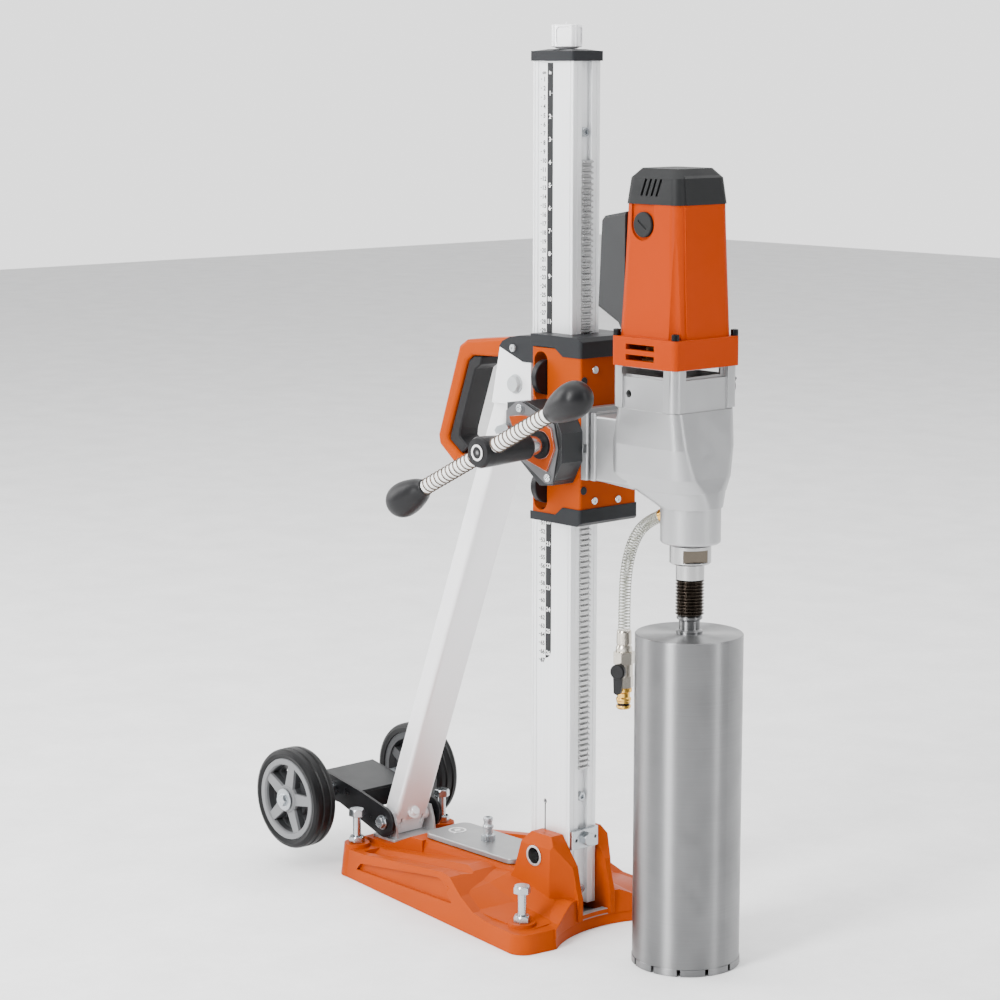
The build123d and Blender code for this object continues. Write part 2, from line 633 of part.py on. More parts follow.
def strut_bracket():
    """Slider on the rear of the column: a block with a T-key and two side plates."""
    front = -COLUMN_X - SLIDE_GAP
    slab = block((-45.5, front), (-24.3, 24.3), (606.0, 668.0))
    slab += block((-45.5, front), (-33.6, 33.6), (647.0, 668.0))
    stem = block((front - 1, -27.5), (-7.6 + SLIDE_GAP, 7.6 - SLIDE_GAP), (612.0, 664.0))
    key = block((-29.9, -27.2), (-11.5 + SLIDE_GAP, 11.5 - SLIDE_GAP), (612.0, 664.0))
    side = [(-70.6, 667.0), (-84.2, 602.2), (-18.2, 602.2), (-18.2, 652.6), (-31.7, 652.6), (-60, 666.0)]
    cheek = profile_xz(side, (-36.2, -33.5))
    bracket = slab + stem + key + both_sides(cheek)
    return bracket - rod_y(HEAD_X, HEAD_Z, (-60, 60), 6.05)


def strut_cap():
    """Moulded cover over the slider and the top of the strut."""
    side = [(-71.2, 667.6), (-66, 674), (-53.7, 679.5), (-36, 682.5), (-12.2, 683.4), (-12.2, 652.9), (-31.5, 652.9)]
    cap = profile_xz(side, (-37.0, 37.0))
    hollow = [(-64, 660), (-58, 672), (-34, 679.3), (-10, 680), (-10, 640), (-64, 640)]
    cap -= profile_xz(hollow, (-33.8, 33.8))
    cap -= profile_xz([(-76, 667), (-76, 640), (-31.7, 640), (-31.7, 652.65), (-60, 666.05), (-70, 667)],
                      (-36.25, 36.25))
    cap -= block((-COLUMN_X - 0.6, 0), (-COLUMN_Y - 0.4, COLUMN_Y + 0.4), (600, 700))
    cap -= block((-32.0, -18.1), (-36.25, 36.25), (640, 652.7))
    return cap


def bracket_bolts():
    """Shoulder bolts of the upper pivot and the screws of the slider cover."""
    head = Pos(HEAD_X, -36.25, HEAD_Z) * Rot(90, 0, 0) * hex_head(17, 6.2)
    washer = rod_y(HEAD_X, HEAD_Z, (-37.4, -36.25), 11.0)
    shank = rod_y(HEAD_X, HEAD_Z, (-36.5, -30.4), 6.0)
    screw = Pos(-46.9, -37.05, 667.4) * Rot(90, 0, 0) * socket_head(4.2, 2.6, 3)
    return both_sides(head + washer + shank + screw)


# ================================================================ carriage
def carriage_housing():
    """Cast carriage that wraps the front half of the column, with roller slots and the pinion bore."""
    body = rounded_block((CARRIAGE_BACK, CARRIAGE_FRONT), (-CARRIAGE_Y, CARRIAGE_Y),
                         (CARRIAGE_BOTTOM, CARRIAGE_TOP), 3)
    body -= block((-20, COLUMN_X + SLIDE_GAP), (-COLUMN_Y - SLIDE_GAP, COLUMN_Y + SLIDE_GAP), (400, 760))
    body -= block((0, 39.0), (-8.6, 8.6), (400, 760))
    body -= rod_y(PINION_X, PINION_Z, (-9.0, 9.0), 15.2)
    body -= block((30, PINION_X), (-9.0, 9.0), (PINION_Z - 15, PINION_Z + 15))
    body -= rod_y(PINION_X, PINION_Z, (-60, 20), 8.0 + RUNNING)
    for z in ROLLER_HEIGHTS:
        body -= both_sides(roller_pocket(z))
    for y, z in ((-22.1, 651.3), (22.1, 651.3), (-22.1, 504.5), (14.5, 502.8)):
        body -= rod_x(y, z, (60, 80), 2.55)
    return body


def roller_pocket(z):
    """Slot and axle bore of one roller, on the -Y side."""
    width = ROLLER_SLOT[1] - ROLLER_SLOT[0]
    middle = (ROLLER_SLOT[0] + ROLLER_SLOT[1]) / 2
    plane = Plane(origin=(middle, -COLUMN_Y + 2, z), x_dir=(1, 0, 0), z_dir=(0, -1, 0))
    slot = extrude(plane * SlotOverall(ROLLER_SLOT_LENGTH, width, rotation=90), 40)
    return slot + rod_x(-roller_y(), z, (-5.5, 60.0), ROLLER_AXLE_R)


def roller_y():
    """Distance of the roller axles from the column's middle plane."""
    return COLUMN_Y + SLIDE_GAP + ROLLER_R


def roller(side, z):
    """Guide roller with its integral axle, running against the column's side."""
    y = side * roller_y()
    x0, x1 = ROLLER_X
    disc = Pos((x0 + x1) / 2, y, z) * Rot(0, 90, 0) * Cylinder(ROLLER_R, x1 - x0)
    disc = chamfer(disc.edges(), 0.8)
    return disc + rod_x(y, z, (-5.0, 59.0), ROLLER_AXLE_R - RUNNING)


def carriage_caps():
    """Moulded end caps of the carriage with wipers round the column."""
    y = CARRIAGE_Y + 1.3
    top_side = [(-9, 674), (30, 674), (43, 665), (72.6, 665), (72.6, 683), (67.4, 687.5), (-9, 687.5)]
    top = profile_xz(top_side, (-y, y))
    low_side = [(-9, 486.5), (32, 486.5), (44, 496), (72.6, 496), (72.6, 481), (67.4, 477), (-9, 477)]
    low = profile_xz(low_side, (-y, y))
    inside = rounded_block((CARRIAGE_BACK - 6, CARRIAGE_FRONT + 0.05), (-CARRIAGE_Y - 0.05, CARRIAGE_Y + 0.05),
                           (CARRIAGE_BOTTOM - 0.05, CARRIAGE_TOP + 0.05), 3)
    caps = top + low - inside
    corners = caps.edges().filter_by(Axis.Z).group_by(Axis.X)[-1]
    caps = fillet(corners, 4)
    gap = 0.6
    caps -= block((-20, COLUMN_X + gap), (-COLUMN_Y - gap, COLUMN_Y + gap), (400, 760))
    caps -= block((0, 39.0), (-8.6, 8.6), (400, 760))
    return caps


def axle_plugs():
    """Round plugs over the front ends of the roller axles."""
    plugs = []
    for z in ROLLER_HEIGHTS:
        for side in (-1, 1):
            plug = rod_x(side * 38.6, z, (CARRIAGE_FRONT + 0.05, CARRIAGE_FRONT + 1.0), 4.6)
            plugs.append(chamfer(plug.edges().group_by(Axis.X)[-1], 0.4))
    return group(*plugs)


def feed_housing():
    """Angular casting on the carriage's -Y side that holds the feed gears."""
    low = [(-14, 612), (16, 616), (66, 600), (74.5, 585), (74.5, 552), (60, 526), (40, 524), (8, 548), (-14, 574)]
    body = profile_xz(low, (-76, -CARRIAGE_Y - 0.05))
    rim = [(-12, 603), (4, 614), (17, 614), (66, 595), (72.5, 568), (64, 530), (52, 528), (10, 552), (-12, 578)]
    body += profile_xz(rim, (-79.5, -76))
    inside = [(-3, 606), (16, 609), (62, 595), (70, 583), (70, 554), (56, 532), (42, 530), (14, 551), (3, 562),
              (-1, 592)]
    body -= profile_xz(inside, (-66, -48))
    for x, z in ((11.6, 608.0), (57.6, 534.8)):
        body += rod_y(x, z, (-80, -46), 7.0)
        body -= rod_y(x, z, (-81, -60), 2.55)
    for x, z, r in ((PINION_X, PINION_Z, 8.0), reduction_axis() + (6.0,)):
        body -= rod_y(x, z, (-90, -40), r + RUNNING)
    body -= rod_y(*LEVER_AT, (-90, -60), 3.0 + RUNNING)
    return body


def reduction_axis():
    """Axis of the reduction shaft, one centre distance from the pinion."""
    distance = REDUCTION_MODULE * (REDUCTION_GEAR_TEETH + REDUCTION_PINION_TEETH) / 2
    return (PINION_X - 0.96 * distance, PINION_Z + 0.28 * distance)


def feed_cover():
    """Painted cover plate over the feed gears."""
    shape = [(-5.5, 597.5), (12, 600.5), (36, 600.5), (63, 590), (69, 568), (56.5, 541.5), (18, 552.5)]
    plate = profile_xz(shape, (-81.4, -79.55), corner=1.5)
    x, z = reduction_axis()
    plate -= rod_y(PINION_X, PINION_Z, (-90, -70), 12.0)
    plate -= rod_y(x, z, (-90, -70), 8.5)
    return plate


def feed_bushes():
    """Dark bushes that seal the two shafts in the feed cover."""
    x, z = reduction_axis()
    big = rod_y(PINION_X, PINION_Z, (-84.5, -79.55), 11.9) + rod_y(PINION_X, PINION_Z, (-84.5, -81.45), 15.5)
    small = rod_y(x, z, (-84.0, -79.55), 8.4) + rod_y(x, z, (-84.0, -81.45), 10.3)
    big -= rod_y(PINION_X, PINION_Z, (-90, -70), 8.0 + RUNNING)
    small -= rod_y(x, z, (-90, -70), 6.0 + RUNNING)
    return group(big, small)


def pinion_shaft():
    """Feed shaft with the rack pinion, the reduction gear and the chrome stub outside."""
    pinion = Rot(90, 0, 0) * Pos(0, 0, -8.0) * gear(RACK_MODULE, PINION_TEETH, 16.0, 0, phase=pinion_phase())
    shaft = rod_y(0, 0, (-122.5, -7.9), 8.0) + rod_y(0, 0, (7.9, 16.0), 7.9)
    wheel = gear(REDUCTION_MODULE, REDUCTION_GEAR_TEETH, 10.0, 0, phase=reduction_phase())
    wheel = Rot(90, 0, 0) * Pos(0, 0, 52.0) * wheel
    sleeve = rod_y(0, 0, (-101.3, -85.0), 10.5)
    return Pos(PINION_X, 0, PINION_Z) * (pinion + shaft + wheel + sleeve)


def pinion_phase():
    """Turns the pinion so that a tooth space faces the rack tooth beside it."""
    return 180.0 + 180.0 / PINION_TEETH


def mesh_direction():
    """Direction from the feed shaft to the reduction shaft, in a gear's own plane."""
    return degrees(atan2(0.28, -0.96))


def reduction_phase():
    return mesh_direction()


def reduction_shaft():
    """Second feed shaft, for the slow gear, with a hexagon socket outside."""
    x, z = reduction_axis()
    toward = mesh_direction() + 180.0 + 180.0 / REDUCTION_PINION_TEETH
    wheel = gear(REDUCTION_MODULE, REDUCTION_PINION_TEETH, 10.0, 0, phase=toward)
    wheel = Rot(90, 0, 0) * Pos(0, 0, 52.0) * wheel
    shaft = rod_y(0, 0, (-83.0, -46.0), 6.0)
    socket = Pos(0, -76.0, 0) * Rot(90, 0, 0) * extrude(RegularPolygon(4.0, 6), 10)
    return Pos(x, 0, z) * (wheel + shaft - socket)


def handle_hub():
    """Rubber-covered hub of the feed handle."""
    y0, y1 = HUB_Y
    points = [(8.02, y1), (13.0, y1), (14.4, y1 - 2), (17.2, y0 + 14), (17.4, y0 + 4), (15.8, y0 + 0.8), (0, y0)]
    inner = [(0, y0 + 52), (8.02, y0 + 52)]
    hub = turned_y(points + inner, PINION_X, PINION_Z)
    badge = turned_y([(6.6, y0 - 0.5), (9.0, y0 - 0.5), (9.0, y0 + 1), (6.6, y0 + 1)], PINION_X, PINION_Z)
    hub += badge
    bar = handle_frame(Rot(0, 90, 0) * Cylinder(6.52, 120))
    return hub - bar


def handle_frame(shape):
    """Moves a shape made along X about the origin to the cross bar's place."""
    return Pos(PINION_X, HANDLE_Y, PINION_Z) * Rot(0, -HANDLE_ANGLE, 0) * shape


def handle_bar():
    """Cross bar with a white sleeve on each side of the hub."""
    bar = Rot(0, 90, 0) * Cylinder(6.5, 300)
    sleeve = turned([(6.4, 18.5), (7.6, 18.5), (8.0, 19.5), (8.0, 111.0), (7.6, 112.0), (6.4, 112.0)])
    for turn in (90, -90):
        bar += Rot(0, turn, 0) * sleeve
    return handle_frame(bar)


def handle_knobs():
    """Egg-shaped knobs on the ends of the cross bar."""
    flank = Spline((9.8, 113.5), (13.0, 121.5), (17.6, 136.0), (19.8, 150.0), (17.2, 166.0), (0, 176.8),
                   tangents=[(0.2, 1.0), (-1.0, 0.0)])
    closing = Polyline((0, 176.8), (0, 150.5), (6.53, 150.5), (6.53, 112.5), (9.0, 112.5), (9.8, 113.5))
    knob = revolve(Plane.XZ * make_face(flank + closing), Axis.Z)
    knobs = Rot(0, 90, 0) * knob + Rot(0, -90, 0) * knob
    return handle_frame(knobs)


LEVER_AT = (-8.0, 583.0)        # X and Z of the lock lever


def lock_lever():
    """Small lever that locks the feed, on a stub at the edge of the feed housing."""
    x, z = LEVER_AT
    arm = profile_xz([(x - 1, z + 6), (x - 13, z + 2), (x - 17, z - 3), (x - 14, z - 7), (x + 5, z - 4)],
                     (-85.5, -81.0))
    hub = rod_y(x, z, (-86.0, -79.9), 6.0)
    stem = rod_y(x, z, (-82.0, -64.0), 3.0)
    return arm + hub + stem


# ================================================================ gearbox and motor
def mount_plate():
    """Quick-change plate between the carriage and the gearbox."""
    plate = rounded_block((CARRIAGE_FRONT + 0.05, 82.0), (-43.9, 43.9), (531.0, 611.0), 2)
    wedge = profile_xy([(82.0, -30), (82.0, 30), (90.0, 36), (90.0, -36)], (536.0, 606.0))
    plate = plate + wedge
    plate -= block((75.0, 81.0), (-46, -36), (561.0, 571.0))
    return plate


def gearbox_section(x, y, z, corner):
    width, depth = x[1] - x[0], y[1] - y[0]
    return Pos((x[0] + x[1]) / 2, (y[0] + y[1]) / 2, z) * RectangleRounded(width, depth, corner)


def gear_housing():
    """Cast gearbox: square head with corner posts, rounded body, mounting foot and nose."""
    posts = extrude(gearbox_section((GEARBOX_BACK, GEARBOX_FRONT), (-GEARBOX_Y, GEARBOX_Y), 619, 9), 44.9)
    posts -= block((GEARBOX_BACK + 17, GEARBOX_FRONT - 17), (-80, 80), (600, 700))
    posts -= block((80, 260), (-GEARBOX_Y + 17, GEARBOX_Y - 17), (600, 700))
    head = extrude(gearbox_section((127, 219), (-47.5, 47.5), 617, 9), 35.5)
    head += extrude(gearbox_section((131, 215), (-43.5, 43.5), 650, 6), FLANGE_Z[0] - 650.1)
    body = loft([gearbox_section((127.4, 220.6), (-47.9, 47.9), 617.5, 11),
                 gearbox_section((117, 225.5), (-46.6, 46.6), 578, 14)], ruled=True)
    body += loft([gearbox_section((117, 225.5), (-46.6, 46.6), 578, 14),
                  gearbox_section((109, 229), (-43.2, 43.2), 545, 21)], ruled=True)
    body += loft([gearbox_section((109, 229), (-43.2, 43.2), 545, 21),
                  gearbox_section((118, 231.4), (-39.6, 39.6), 530, 30)], ruled=True)
    body += loft([gearbox_section((128, 231.4), (-39.2, 39.2), 530, 31),
                  gearbox_section((SPINDLE_X - 34.4, SPINDLE_X + 34.4), (-34.4, 34.4), NOSE_Z[1] - 1, 33)])
    nose = rod_z(SPINDLE_X, 0, NOSE_Z, NOSE_R)
    nose = fillet(nose.edges().group_by(Axis.Z)[0], 3)
    foot = rounded_block((90.5, 146), (-41.5, 41.5), (531, 604), 5)
    foot = fillet(foot.edges().group_by(Axis.Z)[-1] + foot.edges().group_by(Axis.Z)[0], 3)
    web = profile_xz([(100, 531), (100, 598), (140, 610), (160, 560), (150, 528)], (-38, 38))
    housing = posts + head + body + nose + foot + web
    housing += rounded_block((84.0, 92), (-41.5, 41.5), (531, 606), 2)
    return housing - gearbox_inside()


def gearbox_inside():
    """Everything cut out of the gearbox: gear chamber, bores, wedge slot and cooling windows."""
    chamber = extrude(gearbox_section((133, 215), (-42.5, 42.5), 600, 8), 36)
    chamber += extrude(gearbox_section((146, 214), (-33, 33), 548, 24), 54)
    chamber += rod_z(SPINDLE_X, 0, (548, 586), 24.2)
    fan_room = extrude(gearbox_section((134, 212), (-40.5, 40.5), 646, 6), 30)
    cuts = chamber + fan_room
    cuts += rod_z(MOTOR_X, 0, (630, 650), 13.05)
    cuts += rod_z(SPINDLE_X, 0, (440, 560), 12.6)
    cuts += rod_z(SPINDLE_X, 0, (505, 549), 23.55)
    cuts += rod_x(0, 496, (150, 190), 6.02)
    cuts += profile_xy([(83.0, -30.4), (82.0, -36.4), (90.3, -36.4), (90.3, 36.4), (82.0, 36.4), (83.0, 30.4)],
                       (530.0, 606.3))
    cuts += block((140.5, 204), (-60, 60), (655, 662.5))
    cuts += block((210, 230), (-27, 27), (655, 662.5))
    cuts += rod_y(149.8, 634.0, (-60, -40), 4.1)
    x, y = lay_axis()
    cuts += rod_z(x, y, (543.5, 549), 5.02)
    cuts += rod_z(x, y, (630, 640), 5.02)
    cuts += rod_y(214.0 - 14, 640.0, (30, 60), 5.0 + RUNNING)
    return cuts


def lay_axis():
    """Axis of the lay shaft, at its mesh distances from the armature and the spindle."""
    m1, a, b = STAGE_ONE
    m2, c, d = STAGE_TWO
    to_motor = m1 * (a + b) / 2
    to_spindle = m2 * (c + d) / 2
    span = SPINDLE_X - MOTOR_X
    along = (to_motor ** 2 - to_spindle ** 2 + span ** 2) / (2 * span)
    return (MOTOR_X + along, sqrt(to_motor ** 2 - along ** 2))


def angle_to(start, end):
    return degrees(atan2(end[1] - start[1], end[0] - start[0]))


def motor_recess(side):
    """U-shaped recess round a brush cap, open towards the end cap."""
    x, z = BRUSH_AT
    y = (side * 45 - 7.2, side * 45 + 7.2)
    return rod_y(x, z, y, 17.0) + block((x - 17.0, x + 17.0), y, (z, MOTOR_TOP + 1))


def motor_flute(side):
    """Hollow down the front corner that leaves room for a flange screw."""
    flute = Cone(11.0, 5.5, 150)
    return Pos(MOTOR_X + 41.5, side * 45.6, 768) * Rot(side * 2.0, -2.0, 0) * flute


def motor_housing():
    """Motor shell: square flange with vents and a tapered body with flutes."""
    flange = extrude(gearbox_section((GEARBOX_BACK, GEARBOX_FRONT + 0.8), (-50.3, 50.3), FLANGE_Z[0], 5),
                     FLANGE_Z[1] - FLANGE_Z[0])
    flange = fillet(flange.edges().group_by(Axis.Z)[-1], 1)
    body = loft([motor_section(FLANGE_Z[1] - 2, 0.0), motor_section(770, 0.0), motor_section(MOTOR_TOP, 0.0)])
    panel = [(200, 694), (219.4, 696), (216.6, 767), (214.4, MOTOR_TOP), (200, MOTOR_TOP)]
    body += profile_xz(panel, (-30, 30))
    for side in (-1, 1):
        body -= motor_flute(side)
    shell = flange + body
    for side in (-1, 1):
        shell -= motor_recess(side)
    shell -= loft([motor_section(FLANGE_Z[1] - 2.5, 7.0), motor_section(MOTOR_TOP + 1, 7.0)])
    shell -= extrude(gearbox_section((131, 215), (-44, 44), FLANGE_Z[0] - 1, 5), 31)
    for z in (671.0, 682.5):
        shell -= block((147.5, 190.0), (-60, -40), (z, z + 6.0))
        shell -= block((147.5, 190.0), (40, 60), (z, z + 6.0))
    for side in (-1, 1):
        shell -= rod_y(*BRUSH_AT, (side * 55 - 25, side * 55 + 25), 12.05)
    for x in FLANGE_SCREW_X:
        for side in (-1, 1):
            shell -= rod_z(x, side * 45.6, (FLANGE_Z[0] - 1, FLANGE_Z[1] + 1), 2.2)
    return shell


BRUSH_AT = (162.1, 816.3)       # X and Z of the brush caps
FLANGE_SCREW_X = (129.4, 217.2)


def motor_section(z, inset):
    """Rounded square section of the motor body, narrowing upwards."""
    share = (z - FLANGE_Z[1]) / (MOTOR_TOP - FLANGE_Z[1])
    half = 45.2 - 5.0 * share - 1.6 * (1 - share) * share - inset
    return Pos(MOTOR_X, 0, z) * RectangleRounded(2 * half, 2 * half, 12 - inset / 2)


def motor_cap():
    """Vented end cap of the motor."""
    def section(z, half, corner):
        return Pos(MOTOR_X, 0, z) * RectangleRounded(2 * half, 2 * half, corner)

    cap = loft([section(MOTOR_TOP + 0.05, 40.6, 10), section(866, 37.6, 10)])
    cap += profile_xz([(200, MOTOR_TOP + 0.05), (214.6, MOTOR_TOP + 0.05), (211.8, 866), (204, 872), (200, 872)],
                      (-27, 27))
    cap += loft([section(866, 37.6, 10), section(CAP_TOP, 29.0, 9)])
    cap -= loft([section(MOTOR_TOP, 36.0, 6), section(864, 33.0, 7)])
    cap += rod_z(MOTOR_X, 0, (846, 866), 14.0) - rod_z(MOTOR_X, 0, (840, 857), 11.02)
    cap -= rod_z(MOTOR_X, 0, (850, 864), 8.0)
    for index in range(4):
        for side in (-1, 1):
            slot = Pos(MOTOR_X - 12 + 7.5 * index, side * 40, 856) * Rot(0, 16, 0) * Box(3.0, 24, 19)
            cap -= slot
    return cap


def brush_caps():
    """Round screw caps over the two brushes."""
    x, z = BRUSH_AT
    cap = turned_y([(0, -41.8), (12.6, -41.8), (13.6, -41.0), (13.6, -37.9), (12.0, -37.8), (12.0, -34.0),
                    (0, -34.0)], x, z)
    slot = Pos(x, -42.2, z) * Rot(0, 35, 0) * Box(15.0, 3.0, 2.4)
    return both_sides(cap - slot)


def unit_screws():
    """Screws of the carriage, the feed housing, the mount and the motor flange."""
    pieces = []
    for y, z in ((-22.1, 651.3), (22.1, 651.3), (-22.1, 504.5), (14.5, 502.8)):
        pieces.append(Pos(CARRIAGE_FRONT + 0.05, y, z) * Rot(0, 90, 0) * socket_head(4.2, 1.8, 3.4))
        pieces.append(rod_x(y, z, (61, CARRIAGE_FRONT + 0.05), 2.5))
    for x, z in ((11.6, 608.0), (57.6, 534.8)):
        pieces.append(Pos(x, -80.05, z) * Rot(90, 0, 0) * socket_head(4.6, 2.6, 3.6))
    for x in FLANGE_SCREW_X:
        for side in (-1, 1):
            pieces.append(Pos(x, side * 45.6, FLANGE_Z[1] + 0.05) * socket_head(4.2, 7.0, 4))
    return group(*[solid for solid in (pieces[0].fuse(*pieces[1:])).solids()])


GLAND_TILT = 26.6               # slope of the switch box's bottom


def switch_box():
    """Electronics and switch box on the motor's rear face."""
    side = [(87, 724), (92, 818), (97, 823), (130.5, 829), (130.5, 699), (127, 699), (123, 706)]
    box = profile_xz(side, (-36, 36))
    edges = [e for e in box.edges() if abs(abs(e.center().Y) - 36) < 0.1 and e.center().X < 125]
    box = chamfer(edges, 3)
    box -= profile_xz([(91, 727), (95, 815), (99, 819), (126, 824), (126, 710), (124, 710)], (-32, 32))
    box -= extrude(Pos(0, 0, 690) * gearbox_section((119, 230), (-60, 60), 0, 3), 6.2)
    box -= loft([motor_section(FLANGE_Z[1] - 4, -0.05), motor_section(770, -0.05), motor_section(MOTOR_TOP, -0.05)])
    box -= block((97, 119), (20, 40), (760, 796))
    box -= Pos(106.0, 0, 714.6) * Rot(0, GLAND_TILT, 0) * Cylinder(7.02, 20)
    return box


def switch_button():
    """Rocker switch on the +Y side of the switch box."""
    rocker = profile_xz([(97.4, 760.4), (118.6, 760.4), (118.6, 795.6), (97.4, 795.6)], (30.0, 38.0))
    hollow = Pos(108, 56.5, 778) * Rot(90, 0, 90) * Cylinder(20, 30)
    return rocker - hollow


def cable_gland():
    """Gland for the supply cable, under the sloping bottom of the switch box."""
    body = turned([(4.0, -16), (7.0, -16), (8.6, -12), (8.6, -6), (7.0, -6), (7.0, 3), (4.0, 3)])
    nut = Pos(0, 0, -6) * extrude(RegularPolygon(11.0, 6), 5.8)
    gland = body + (nut - Pos(0, 0, -3) * Cylinder(7.0, 20))
    return Pos(106.0, 0, 714.6) * Rot(0, GLAND_TILT, 0) * gland


def stator():
    """Laminated ring of the motor."""
    inside = loft([motor_section(FLANGE_Z[1] - 4, 7.05), motor_section(MOTOR_TOP, 7.05)])
    ring = rod_z(MOTOR_X, 0, (705, 775), 46.0) & inside
    return ring - rod_z(MOTOR_X, 0, (700, 780), 25.0)


def armature():
    """Armature with its fan, commutator and pinion shaft."""
    module, teeth, lay_teeth = STAGE_ONE
    core = rod_z(0, 0, (707, 773), 24.2)
    shaft = rod_z(0, 0, (612, 862), 4.0)
    journal = rod_z(0, 0, (631, 700), 6.0)
    commutator = rod_z(0, 0, (790, 822), 13.0)
    fan = rod_z(0, 0, (667, 671), 36.0)
    for index in range(9):
        blade = Pos(22, 0, 676) * Rot(0, 0, 20) * Box(24, 2.0, 12)
        fan += Rot(0, 0, 40 * index) * blade
    toward = angle_to((MOTOR_X, 0), lay_axis())
    pinion = Pos(0, 0, 606) * gear(module, teeth, 14, 0, phase=toward)
    return Pos(MOTOR_X, 0, 0) * (core + shaft + journal + commutator + fan + pinion)


def lay_gear():
    """Lay shaft with the large gear of stage one and the pinion of stage two."""
    x, y = lay_axis()
    m1, armature_teeth, teeth = STAGE_ONE
    m2, small, spindle_teeth = STAGE_TWO
    from_motor = angle_to((x, y), (MOTOR_X, 0)) + 180.0 / teeth
    big = Pos(0, 0, 608) * gear(m1, teeth, 10, 0, phase=from_motor)
    to_spindle = angle_to((x, y), (SPINDLE_X, 0))
    pinion = Pos(0, 0, 560) * gear(m2, small, 26, 0, phase=to_spindle)
    shaft = rod_z(0, 0, (544, 637), 4.97)
    return Pos(x, y, 0) * (big + pinion + shaft)


def spindle():
    """Output spindle with its gear, journals, wrench collar and threaded mouth."""
    module, lay_teeth, teeth = STAGE_TWO
    shaft = rod_z(0, 0, (469, 596), 12.0)
    top = rod_z(0, 0, (596, 604), 8.0)
    journal = rod_z(0, 0, (549, 560), 14.0)
    x, y = lay_axis()
    toward = angle_to((SPINDLE_X, 0), (x, y)) + 180.0 / teeth
    wheel = Pos(0, 0, 562) * gear(module, teeth, 20, 0, phase=toward)
    collar = rod_z(0, 0, (449.2, 469.5), 22.9)
    collar = chamfer(collar.edges().group_by(Axis.Z)[0], 1.5)
    neck = rod_z(0, 0, (432.0, 450), 15.6)
    body = shaft + top + journal + wheel + collar + neck
    for turn in (-28, 152):
        flat = Rot(0, 0, turn) * block((18.2, 30), (-20, 20), (452.0, 466.0))
        body -= flat
    body -= rod_z(0, 0, (430, 447), 12.02)
    return Pos(SPINDLE_X, 0, 0) * body


def spindle_bearings():
    """Ball bearings of the spindle, the armature and the lay shaft, and the shaft seal."""
    def ring(x, y, z, bore, outside):
        return rod_z(x, y, z, outside) - rod_z(x, y, (z[0] - 1, z[1] + 1), bore)
    lower = ring(SPINDLE_X, 0, (508, 524), 12.0 + RUNNING, 23.5)
    upper = ring(SPINDLE_X, 0, (530, 546), 12.0 + RUNNING, 23.5)
    front = ring(MOTOR_X, 0, (636, 646), 6.0 + RUNNING, 13.0)
    rear = ring(MOTOR_X, 0, (846, 856), 4.0 + RUNNING, 11.0)
    return lower + upper + front + rear


def gear_selector():
    """Speed selector knob on the +Y side of the gearbox."""
    x, z = 200.0, 640.0
    disc = turned_y([(0, 49.8), (13.5, 49.8), (13.5, 53.0), (12.4, 54.2), (0, 54.2)], x, z)
    grip = Pos(x, 56.6, z) * Rot(0, 30, 0) * Box(7.0, 6.0, 23.0)
    stem = rod_y(x, z, (38.0, 50.0), 5.0)
    return disc + grip + stem


# ================================================================ core bit
def bit_adapter():
    """Threaded adapter between the spindle and the core bit."""
    points = [(0, 391.6), (13.0, 391.6)]
    pitch = 3.63
    turns = 11
    for index in range(turns):
        z = 392.0 + index * pitch
        points += [(13.4, z), (15.7, z + 1.5), (15.7, z + 2.0), (13.4, z + 3.4)]
    points += [(13.0, 431.95), (12.0, 431.95), (12.0, 446.0), (0, 446.0)]
    return Pos(SPINDLE_X, 0, 0) * turned(points)


def core_bit():
    """Bit hub, crown plate and thin-walled barrel."""
    barrel = turned([(BIT_R - BIT_WALL, SEGMENT_TOP), (BIT_R, SEGMENT_TOP), (BIT_R, BIT_TOP - 1.0),
                     (BIT_R - 1.0, BIT_TOP), (0, BIT_TOP), (0, BIT_TOP - 8), (BIT_R - BIT_WALL, BIT_TOP - 8)])
    hub = turned([(0, BIT_TOP - 1), (14.6, BIT_TOP - 1), (14.6, 374.6), (11.6, 376.4), (11.6, 386.2),
                  (14.2, 388.0), (14.2, 390.4), (12.4, 391.55), (0, 391.55)])
    return Pos(SPINDLE_X, 0, 0) * (barrel + hub)


def bit_segments():
    """Diamond segments brazed under the barrel."""
    ring = turned([(BIT_R - BIT_WALL - 0.7, 0.0), (BIT_R + 0.6, 0.0), (BIT_R + 0.6, SEGMENT_TOP - 0.05),
                   (BIT_R - BIT_WALL - 0.7, SEGMENT_TOP - 0.05)])
    for index in range(SEGMENT_COUNT):
        gap = Rot(0, 0, 360 / SEGMENT_COUNT * index + 7) * block((40, 80), (-2.0, 2.0), (-1, 9))
        ring -= gap
    return Pos(SPINDLE_X, 0, 0) * ring


# ================================================================ water hose
def hose_path():
    """Straight runs joined by arcs as large as the runs allow."""
    points = [Vector(*p) for p in HOSE_ROUTE]
    radii = []
    for before, here, after in zip(points, points[1:], points[2:]):
        turn = radians((here - before).get_angle(after - here))
        shorter = min((here - before).length, (after - here).length)
        radii.append(0.45 * shorter / tan(turn / 2))
    print("hose bend radii, mm:", [round(r, 1) for r in radii])
    return FilletPolyline(*HOSE_ROUTE, radius=radii)


def water_hose():
    """Short braided hose from the gearbox nose down to the water valve."""
    path = hose_path()
    section = Plane(origin=path @ 0, z_dir=path % 0) * Circle(HOSE_R)
    hose = sweep(section, path=path)
    print("hose length, mm:", round(path.length, 1), "volume ratio:",
          round(hose.volume / (pi * HOSE_R ** 2 * path.length), 4))
    return hose


